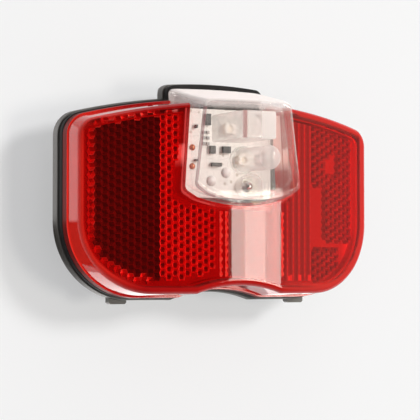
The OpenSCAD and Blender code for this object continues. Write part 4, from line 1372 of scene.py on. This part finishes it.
    def backing(self):
        """A shallow red dish behind the prisms that follows the front, cut by the window. Painted light makes
        it lighter towards the right, brightest at its right rim.
        """
        outline = Outline()
        behind, sheet, rim, edge = 5.8 * MM, 0.4 * MM, 2.6 * MM, 4.4 * MM
        levels = ((edge + sheet, behind), (edge + sheet, rim), (edge, rim), (edge, behind + sheet))
        rings = np.asarray([front_ring(outline.cover(inset, COVER_DROP), back) for inset, back in levels])
        points = rings.reshape(-1, 3)
        faces = walls(rings).tolist()
        points, lid = front_lid(points, 0, behind)
        faces += lid
        points, lid = front_lid(points, (len(rings) - 1) * rings.shape[1], behind + sheet)
        faces += lid
        back = new_object("reflector_backing", points, faces)
        combine(back, *window_opening(0.4 * MM), "DIFFERENCE")
        n = material("backing_red")
        x, _, _ = n.place()
        cloud = n.noise(120, 3)
        shade = n.mix(cloud.between(0.25, 0.75), (0.40, 0.003, 0.004), (0.50, 0.005, 0.006))
        # Painted light: lighter towards the right, brightest at the right rim
        shade = n.mix(x.between(16 * MM, 34 * MM), shade, (0.62, 0.010, 0.007))
        shade = n.mix(x.between(41 * MM, 45 * MM), shade, (1.0, 0.03, 0.02))
        finish = n.finish(n.plastic(Base_Color=shade, Roughness=cloud * 0.3 + 0.4, Specular_IOR_Level=0.0))
        dress(back, finish, "lens_cover", shadow=False)


class LightGuides(bpy.types.Operator):
    """Clear optics: a rectangular guide, a round guide with a domed tip and an open cup, and the lamps"""

    bl_idname = "rear_light.light_guides"
    bl_label = "Light guides"

    def execute(self, context):
        self.block(*node_box("light_guide_block"))
        self.rod(*node_box("light_guide_rod"))
        self.cup(*node_box("led_cup"))
        n = material("lamp_yellow")
        _, y, _ = n.place()
        speck = n.noise(2500, 2)
        shade = n.mix((0 - y).between(12.1 * MM, 12.4 * MM), (0.62, 0.45, 0.12), (0.82, 0.80, 0.74))
        dress_nodes(n.finish(n.plastic(Base_Color=shade, Roughness=speck * 0.3 + 0.2)), "led_emitters")
        return {"FINISHED"}

    def block(self, low, high):
        """A bar with rounded long edges, a bevelled front and a pocket for the lamp at its foot."""
        def ring(inset, depth, corner):
            x0, x1 = low[0] + inset, high[0] - inset
            z0, z1 = low[2] + inset, high[2] - inset
            r = max(corner, 0.02 * MM)
            parts = [arc((x1 - r, z1 - r), r, 90, 0, 5), arc((x1 - r, z0 + r), r, 0, -90, 5),
                     arc((x0 + r, z0 + r), r, -90, -180, 5), arc((x0 + r, z1 - r), r, 180, 90, 5)]
            return flat_ring(np.concatenate(parts), depth)

        front, back = -low[1], -high[1]
        pocket = 3.5 * MM
        rings = [
            ring(pocket, back + 2.2 * MM, 0.3 * MM), ring(pocket, back, 0.3 * MM),
            ring(0.1 * MM, back, 0.5 * MM), ring(0, back + 0.1 * MM, 0.5 * MM),
            ring(0, front - 0.45 * MM, 0.5 * MM), ring(0.12 * MM, front - 0.12 * MM, 0.5 * MM),
            ring(0.45 * MM, front, 0.4 * MM), ring(0.75 * MM, front, 0.3 * MM),
        ]
        guide = new_object("guide_block", *loft(rings))
        dress(guide, self.guide_finish(), "housing", ("light_guide_block",), 30, shadow=False)

    def guide_finish(self):
        """Milky at its right front, clear at its left, with a painted red reflection along the left front
        edge.
        """
        edge_x, milk_x = 0.8 * MM, 5.6 * MM

        def front(y):
            return (0 - y).between(29.4 * MM, 29.9 * MM)

        # Milky share; at the left front edge it carries the painted red reflection
        def milk(n, x, y, z):
            return front(y) * ((x > milk_x) * 0.6 + (x < edge_x) * 0.7) + 0.26

        # Painted red reflection along the left front edge
        def tone(n, x, y, z):
            return n.mix(front(y) * (x < edge_x), (0.98, 0.96, 0.94), (0.30, 0.03, 0.03))

        return optic_finish("guide_clear", milk, tone)

    def rod(self, low, high):
        """A turned bar with a foot round its lamp and a domed tip."""
        foot = (high[0] - low[0]) / 2
        step, pocket, dome_tall, frosted = 0.6 * MM, 2.2 * MM, 2.4 * MM, 2.2 * MM
        radius = foot - step
        long = high[1] - low[1]
        turn = np.radians(np.linspace(0, 88, 12))
        dome = np.column_stack((radius * np.cos(turn), long - dome_tall * (1 - np.sin(turn))))
        profile = np.concatenate(([
            (0.1 * MM, pocket), (2.3 * MM, pocket), (2.4 * MM, 0), (foot, 0), (foot, 1.4 * MM),
            (foot - 0.2 * MM, 1.6 * MM), (radius + 0.1 * MM, 1.7 * MM), (radius, 2.0 * MM),
        ], dome))
        middle = (low + high) / 2
        place = (middle[0], high[1], middle[2])
        rod = new_object("guide_rod", *turned(profile, place, "y", 64))
        tip = -low[1] - frosted

        def frost(n, x, y, z):
            return (0 - y).between(tip, tip + 0.4 * MM) * 0.25 + 0.14

        finish = optic_finish("rod_clear", frost)
        dress(rod, finish, "housing", ("light_guide_rod",), 40, shadow=False)

    def cup(self, low, high):
        """A flared cup with a thin rolled lip."""
        mouth = (high[0] - low[0]) / 2
        deep = high[1] - low[1]
        foot, wall = 2.4 * MM, 0.6 * MM
        waist, lip = 0.4 * deep, deep - 0.3 * MM
        outside = [(foot + wall, 0), (foot + 1.1 * MM, waist), (mouth, lip), (mouth, deep)]
        inside = [(mouth - wall, deep), (mouth - wall, lip), (foot + 0.5 * MM, waist), (foot, 0)]
        profile = np.concatenate((rounded(outside), rounded(inside)))
        angle = np.linspace(0, 2 * np.pi, 56, endpoint=False)
        middle = (low + high) / 2
        x = profile[:, :1] * np.cos(angle) + middle[0]
        z = profile[:, :1] * np.sin(angle) + middle[2]
        y = high[1] - np.broadcast_to(profile[:, 1:], x.shape)
        cup = new_object("lamp_cup", *loft(np.stack((x, y, z), axis=-1), loop=True))
        dress(cup, optic_finish("cup_clear", 0.1), "housing", ("led_cup",), 40, shadow=False)
        self.mirror(middle[0], high[1], middle[2])

    def mirror(self, x, y, z):
        """A faceted bright cone in the cup, turned in ten steps."""
        profile = [(2.0 * MM, 1.5 * MM), (1.9 * MM, 2.2 * MM), (1.1 * MM, 3.6 * MM), (0.3 * MM, 4.1 * MM)]
        cone = new_object("lamp_mirror", *turned(profile, (x, y, z), "y", 10))
        chrome = plated_metal("mirror_chrome", (0.95, 0.95, 0.95), 0.05)
        dress(cone, chrome, "housing", angle=5)


class CircuitParts(bpy.types.Operator):
    """Circuit board with its chips, resistors, solder domes, pins and screws"""

    bl_idname = "rear_light.circuit_parts"
    bl_label = "Circuit parts"

    def execute(self, context):
        dress_nodes(board_finish(), "circuit_board")
        dress_nodes(grained("chip_black", (0.006, 0.006, 0.007), (0.03, 0.03, 0.029)), "board_chips")
        dress_nodes(grained("resistor_grey", (0.18, 0.18, 0.19), (0.42, 0.41, 0.39)), "board_resistors")
        steel = plated_metal("screw_steel", tuple(sizes("colours").steel))
        dress_nodes(steel, "board_screws")
        self.domes()
        self.pins()
        return {"FINISHED"}

    def domes(self):
        """Flattened half balls of solder: a quarter ellipse turned about its axis."""
        low, high = node_box("solder_domes")
        radius, tall = (high[0] - low[0]) / 2, high[1] - low[1]
        turn = np.radians(np.linspace(0, 87, 9))
        profile = np.column_stack((radius * np.cos(turn), tall * np.sin(turn)))
        heights = (low[2] + radius, high[2] - radius)
        parts = [turned(profile, ((low[0] + high[0]) / 2, high[1], z), "y", 28) for z in heights]
        domes = new_object("solder_beads", *joined(*parts))
        copper = tuple(sizes("colours").copper)
        finish = grained("solder_copper", copper, scaled(copper, 1.6), 1200, 0.32, 0.7)
        dress(domes, finish, "housing", ("solder_domes",))

    def pins(self):
        """Locating pins with domed pearl heads."""
        low, high = node_box("board_pins")
        turn = np.radians(np.linspace(0, 87, 9))
        head, tall = 1.6 * MM, 0.9 * MM
        long = high[1] - low[1] - tall
        dome = np.column_stack((head * np.cos(turn), long + tall * np.sin(turn)))
        profile = np.concatenate(([(0.9 * MM, 0), (1.1 * MM, 0.2 * MM), (1.1 * MM, long)], dome))
        places = ((low[0] + head, low[2] + head), (high[0] - head, high[2] - head))
        parts = [turned(profile, (x, high[1], z), "y", 32) for x, z in places]
        pins = new_object("locating_pins", *joined(*parts))
        finish = grained("pin_white", (0.66, 0.64, 0.63), (0.82, 0.80, 0.79), 500, 0.3)
        dress(pins, finish, "housing", ("board_pins",))


class CellBay(bpy.types.Operator):
    """Battery bay: tray, two cells, conical springs, contacts and leads"""

    bl_idname = "rear_light.cell_bay"
    bl_label = "Cell bay"

    def execute(self, context):
        tray = textured_plastic("tray_black", (0.05, 0.05, 0.055), 1800, 0.4)
        dress_nodes(tray, "battery_tray", "switch_body")
        nickel = plated_metal("contact_steel", tuple(sizes("colours").nickel), 0.25, (1, 6, 1))
        dress_nodes(nickel, "series_contact", "positive_contact", "negative_contact")
        for node, side in (("upper_cell", 1), ("lower_cell", -1)):
            self.cell(node, side)
        self.springs(nickel)
        self.leads()
        return {"FINISHED"}

    def cell(self, node, side):
        """A can with rolled edges and a button, turned about X."""
        low, high = node_box(node)
        radius, long = (high[2] - low[2]) / 2, high[0] - low[0]
        can = long - 0.8 * MM
        profile = rounded([
            (0.05 * MM, 0), (radius - 0.5 * MM, 0), (radius, 0), (radius, 0.6 * MM),
            (radius, can - 1.2 * MM), (radius - 0.15 * MM, can - 0.9 * MM),
            (radius - 0.2 * MM, can - 0.1 * MM), (radius - 0.7 * MM, can), (2.1 * MM, can),
            (1.9 * MM, can), (1.9 * MM, long - 0.1 * MM), (1.8 * MM, long), (0.05 * MM, long),
        ], 1)
        points, faces = turned(profile, (0, 0, 0), "x", 56)
        points[:, 0] = (points[:, 0] - long / 2) * side
        points += (low + high) / 2
        made = new_object(node + "_can", points, faces)
        end = side * (high[0] if side > 0 else low[0])
        dress(made, cell_finish(node + "_wrap", side, end), "housing", (node,), 40)

    def springs(self, finish):
        """One wire each: a circle carried along a conical helix of four turns."""
        low, high = node_box("battery_springs")
        wire, turns, steps, wide, narrow = 0.7 * MM, 4, 28, 3.9, 2.3
        space, play = 6.5 * MM, 0.12 * MM
        reach = space - wire - play
        share = np.linspace(0, 1, turns * steps + 1)
        radius = (wide + (narrow - wide) * share) * MM
        turn = 2 * np.pi * turns * share
        parts = []
        for node, side in (("upper_cell", -1), ("lower_cell", 1)):
            cell_low, cell_high = node_box(node)
            middle = (cell_low + cell_high) / 2
            start = low[0] + wire / 2 if side < 0 else high[0] - wire / 2
            along = start - side * reach * share
            path = np.column_stack((along, radius * np.cos(turn), radius * np.sin(turn)))
            path[:, 1:] += middle[1:]
            parts.append(swept(path, wire / 2, (1, 0, 0), 10))
        springs = new_object("cell_springs", *joined(*parts))
        dress(springs, finish, "housing", ("battery_springs",))

    def leads(self):
        """Insulated wires: a circle carried along a straight run, a round bend and a straight run."""
        low, high = node_box("supply_leads")
        radius = (high[2] - low[2]) / 2
        z = (low[2] + high[2]) / 2
        bend, inner_x, inner_y = 1.2 * MM, 4.2 * MM, 3.95 * MM
        parts = []
        for x, y in ((low[0] + inner_x, high[1] - inner_y), (low[0] + radius, high[1] - radius)):
            corner = arc((x + bend, y - bend), bend, 90, 180, 9)
            run = np.concatenate(([(high[0], y)], corner, [(x, low[1])]))
            path = np.column_stack((run, np.full(len(run), z)))
            parts.append(swept(path, radius, (0, 0, 1), 14))
        leads = new_object("lead_wires", *joined(*parts))
        n = material("lead_red")
        gloss = n.noise(600, 2)
        shade = n.mix(gloss, (0.40, 0.02, 0.02), (0.56, 0.04, 0.035))
        finish = n.finish(n.plastic(Base_Color=shade, Roughness=gloss * 0.2 + 0.25))
        dress(leads, finish, "housing", ("supply_leads",))


class KeyAndStuds(bpy.types.Operator):
    """Rubber key with its plunger, and the two threaded mounting studs"""

    bl_idname = "rear_light.key_and_studs"
    bl_label = "Key and studs"

    def execute(self, context):
        dress_nodes(grained("plunger_red", (0.34, 0.02, 0.02), (0.46, 0.05, 0.045)), "switch_plunger")
        self.key()
        self.studs()
        return {"FINISHED"}

    def key(self):
        """A pad with a rounded edge and a shallow dish in its top, a flange below the wall and a stem:
        rings with round ends, each given by its length, its width and its height."""
        low, high = node_box("push_button")
        y = (low[1] + high[1]) / 2

        def ring(long, wide, z):
            radius = wide / 2
            reach = max(long / 2 - radius, 0.01 * MM)
            right = arc((reach, y), radius, -90, 90, 14)
            line = np.concatenate((right, arc((-reach, y), radius, 90, 270, 14)))
            return np.column_stack((line, np.full(len(line), z)))

        stem, top = low[2], high[2]
        flange = top - 2.7 * MM
        levels = [
            (4, 4, stem), (4, 4, flange - 1.1 * MM), (13.6, 5.2, flange - 1.1 * MM),
            (14, 5.6, flange - 0.9 * MM), (14, 5.6, flange - 0.15 * MM), (13.7, 5.3, flange),
            (12, 4.6, flange), (12, 4.6, top - 0.6 * MM), (11.8, 4.4, top - 0.2 * MM), (11.3, 3.9, top),
            (9.6, 2.2, top), (9.4, 2.0, top - 0.25 * MM),
        ]
        key = new_object("rubber_key", *loft([ring(a * MM, b * MM, z) for a, b, z in levels]))
        finish = rubber("key_black", (0.02, 0.02, 0.02))
        dress(key, finish, "button", ("push_button",), 40)

    def studs(self):
        """A thread is a radius that falls and rises once a pitch along a helix; the head is a hexagon."""
        low, high = node_box("mounting_studs")
        tip = high[1]
        thread_r, shoulder_r, pitch, cut = 2.5 * MM, 2.75 * MM, 0.8 * MM, 0.42 * MM
        threaded = tip - 0.3 * MM
        height = np.arange(0, threaded, 0.1 * MM)
        angle = np.linspace(0, 2 * np.pi, 40, endpoint=False)
        phase = (height[:, None] / pitch - angle[None, :] / (2 * np.pi)) % 1
        fade = np.clip((threaded - height) / (0.8 * MM), 0, 1) * rise(height, -0.2 * MM, MM)
        chamfer = 0.4 * MM * np.clip(1 - height / (0.6 * MM), 0, 1)
        radius = thread_r - chamfer[:, None] - cut * np.abs(2 * phase - 1) * fade[:, None]
        shank = np.array((thread_r, thread_r, shoulder_r, shoulder_r))[:, None]
        radius = np.concatenate((radius, np.tile(shank, len(angle))))
        head_back, head_front = low[1] + 3.5 * MM, low[1]
        y = np.concatenate((tip - height, (0.1 * MM, 0.01 * MM, 0, head_back - 0.5 * MM)))
        spacing = 80 * MM
        parts = []
        for side in (-1, 1):
            x0 = side * (high[0] + low[0] + spacing) / 2
            rings = np.stack((
                x0 + radius * np.cos(angle), np.broadcast_to(y[:, None], radius.shape), radius * np.sin(angle)
            ), axis=-1)
            parts.append(loft(rings))
            parts.append(self.head(x0, head_back, head_front))
        studs = new_object("threaded_studs", *joined(*parts))
        zinc = plated_metal("stud_zinc", tuple(sizes("colours").steel), 0.3)
        dress(studs, zinc, "housing", ("mounting_studs",), 30)

    def head(self, x0, back, front):
        """A hexagon whose outer corners are turned down at the front."""
        angle = np.linspace(0, 2 * np.pi, 36, endpoint=False)
        half_width = 4 * MM
        flats = half_width / np.cos((angle % (np.pi / 3)) - np.pi / 6)
        levels = ((flats, back), (flats, front + 0.5 * MM), (np.minimum(flats, 4.1 * MM), front + 0.1 * MM),
                  (np.minimum(flats, 3.9 * MM), front))
        x, z = np.cos(angle), np.sin(angle)
        return loft([np.column_stack((x0 + r * x, np.full(len(angle), y), r * z)) for r, y in levels])


class Stage(bpy.types.Operator):
    """Pale floor behind the light, soft studio lamps and the camera of the photograph"""

    bl_idname = "rear_light.stage"
    bl_label = "Stage"

    def execute(self, context):
        self.floor()
        self.world()
        self.flag()
        self.lamps()
        eye, target = (-0.238415, -0.450257, -0.023479), (-0.00536, -0.019, -0.00579)
        data = bpy.data.cameras.new("camera")
        data.lens, data.sensor_width = 144.0, 36.0
        camera = bpy.data.objects.new("camera", data)
        camera.location = eye
        aim = Vector(target) - camera.location
        camera.rotation_euler = aim.to_track_quat("-Z", "Y").to_euler()
        context.scene.collection.objects.link(camera)
        context.scene.camera = camera
        context.scene.view_settings.view_transform = "Standard"
        return {"FINISHED"}

    def plane(self, name, x, y, z):
        """An upright rectangle at one Y, between two X and two Z."""
        points = [(x[0], y, z[0]), (x[1], y, z[0]), (x[1], y, z[1]), (x[0], y, z[1])]
        mesh = bpy.data.meshes.new(name)
        mesh.from_pydata(points, [], [(0, 1, 2, 3)])
        made = bpy.data.objects.new(name, mesh)
        bpy.context.scene.collection.objects.link(made)
        return made

    def floor(self):
        """The surface behind the light, seen from its front side only; to the eye and in reflections a
        share of it shines by itself, so that the shadow stays pale."""
        y, far, shine = 4 * MM, 2.5, 0.43
        floor = self.plane("floor", (-far, far), y, (-far, far))
        n = material("floor_white")
        behind = n.node("ShaderNodeNewGeometry", output="Backfacing")
        rays = n.node("ShaderNodeLightPath", output=("Is Camera Ray", "Is Glossy Ray", "Is Transmission Ray"))
        seen = (rays[0] + rays[1] + rays[2]).clamped()
        cloud = n.noise(3, 2)
        shade = n.mix(cloud, (0.905, 0.92, 0.95), (0.925, 0.94, 0.97))
        glow = n.node("ShaderNodeEmission", None, {"Color": (BACKDROP,) * 3, "Strength": 1.0})
        front = n.blend(seen * shine, n.matt(shade), glow)
        floor.data.materials.append(n.finish(n.blend(behind, front, n.clear())))
        floor.visible_shadow = False

    def world(self):
        """Even ambient light; the camera sees the pale backdrop. Gloss sees a dark room in front with
        a pale wall on the right."""
        world = bpy.data.worlds.new("studio")
        bpy.context.scene.world = world
        n = Nodes(world)
        camera, glossy, through, walls_passed = n.node(
            "ShaderNodeLightPath",
            output=("Is Camera Ray", "Is Glossy Ray", "Is Transmission Ray", "Transmission Depth"),
        )
        vector = n.node("ShaderNodeTexCoord", output="Generated")
        x, y, _ = n.node("ShaderNodeSeparateXYZ", None, {0: vector}, output=("X", "Y", "Z"))
        front = (0 - y).between(0.3, 0.55)
        room = x.between(0.62, 0.70) * 0.55 + 0.03
        even = 0.37
        ambient = glossy * front * (room - even) + even
        backdrop = (camera + through + glossy * (walls_passed > 0.5)).clamped()
        strength = backdrop * (BACKDROP - ambient) + ambient
        tint = n.mix(glossy * front, (1.0, 1.0, 1.0), (1.0, 0.93, 0.80))
        back = n.node("ShaderNodeBackground", None, {"Color": tint, "Strength": strength})
        n.finish(back, "ShaderNodeOutputWorld")

    def lamps(self):
        """Softboxes: bearing from the front and elevation in degrees, distance, width and height in metres,
        radiance and tint. The cards show in gloss and light nothing else."""
        self.softbox("key", 33.5, -5.6, 3.0, 0.79, 0.87, 9.5, (1.0, 0.96, 0.86))
        self.softbox("key_core", 33, -5.6, 2.98, 0.32, 0.87, 4.0, (1.0, 0.96, 0.86))
        self.softbox("high", 41, 21, 3.0, 0.7, 0.7, 33, (1.0, 0.98, 0.95))
        self.softbox("overhead", 10, 72, 3.0, 1.6, 1.6, 0.8, (1.0, 0.98, 0.96))
        self.softbox("rear", 160, 35, 3.0, 2.0, 2.0, 2.0, (1.0, 1.0, 1.0))
        self.card("left_card", (-80 * MM, 10 * MM), (56 * MM, 38 * MM), 1.0)
        self.card("low_left_card", (-27 * MM, -47 * MM), (38 * MM, 26 * MM), 1.6)
        self.card("low_right_card", (34 * MM, -47 * MM), (20 * MM, 26 * MM), 1.2)

    def flag(self):
        """A black card on the floor at the lower left that only gloss sees."""
        flag = self.plane("flag", (-78 * MM, -50 * MM), 2 * MM, (-44 * MM, -10 * MM))
        n = material("flag_black")
        shade = n.mix(n.noise(80), (0.008, 0.008, 0.008), (0.016, 0.016, 0.016))
        flag.data.materials.append(n.finish(n.matt(shade)))
        for ray in ("camera", "diffuse", "transmission", "shadow"):
            setattr(flag, "visible_" + ray, False)

    def card(self, name, middle, size, radiance):
        """A bright card on the floor beside the light, given by its middle and size in X and Z."""
        card = self.softbox(name, 0, 0, 1.0, *size, radiance, (1.0, 0.97, 0.95))
        card.location = (middle[0], 3 * MM, middle[1])
        card.rotation_euler = (math.radians(-90), 0, 0)
        card.visible_diffuse = False

    def softbox(self, name, bearing, elevation, distance, wide, tall, radiance, tint):
        """An area lamp that faces the origin; its power follows from its radiance and its area."""
        light = bpy.data.lights.new(name, "AREA")
        light.shape = "RECTANGLE"
        light.size, light.size_y = wide, tall
        light.energy = radiance * math.pi * wide * tall
        light.color = tint
        lamp = bpy.data.objects.new(name, light)
        turn, lift = math.radians(bearing), math.radians(elevation)
        away = Vector((math.sin(turn) * math.cos(lift), -math.cos(turn) * math.cos(lift), math.sin(lift)))
        lamp.location = away * distance
        lamp.rotation_euler = (-away).to_track_quat("-Z", "Y").to_euler()
        lamp.visible_camera = False
        lamp.visible_transmission = False
        bpy.context.scene.collection.objects.link(lamp)
        return lamp


class RearLightPanel(bpy.types.Panel):
    """The pieces of the rear light, in the order in which they are made"""

    bl_idname = "VIEW3D_PT_rear_light"
    bl_label = "Rear light"
    bl_space_type = "VIEW_3D"
    bl_region_type = "UI"
    bl_category = "Rear light"

    def draw(self, context):
        for operator in PIECES:
            self.layout.operator(operator.bl_idname)


GROUPS = {"shell": ShellSizes, "cover": CoverSizes, "reflector": ReflectorSizes, "colours": LightColours}
PIECES = (
    HousingTray, SealRing, CoverLens, LampWindow, Reflectors, LightGuides, CircuitParts, CellBay,
    KeyAndStuds, Stage,
)


def register():
    for name, group in GROUPS.items():
        bpy.utils.register_class(group)
        setattr(bpy.types.Scene, "rear_light_" + name, bpy.props.PointerProperty(type=group))
    for operator in (*PIECES, RearLightPanel):
        bpy.utils.register_class(operator)


def unregister():
    for operator in (RearLightPanel, *PIECES[::-1]):
        bpy.utils.unregister_class(operator)
    for name, group in GROUPS.items():
        delattr(bpy.types.Scene, "rear_light_" + name)
        bpy.utils.unregister_class(group)


def main():
    register()
    for operator in PIECES:
        group, name = operator.bl_idname.split(".")
        getattr(getattr(bpy.ops, group), name)()


if __name__ == "__main__":
    main()
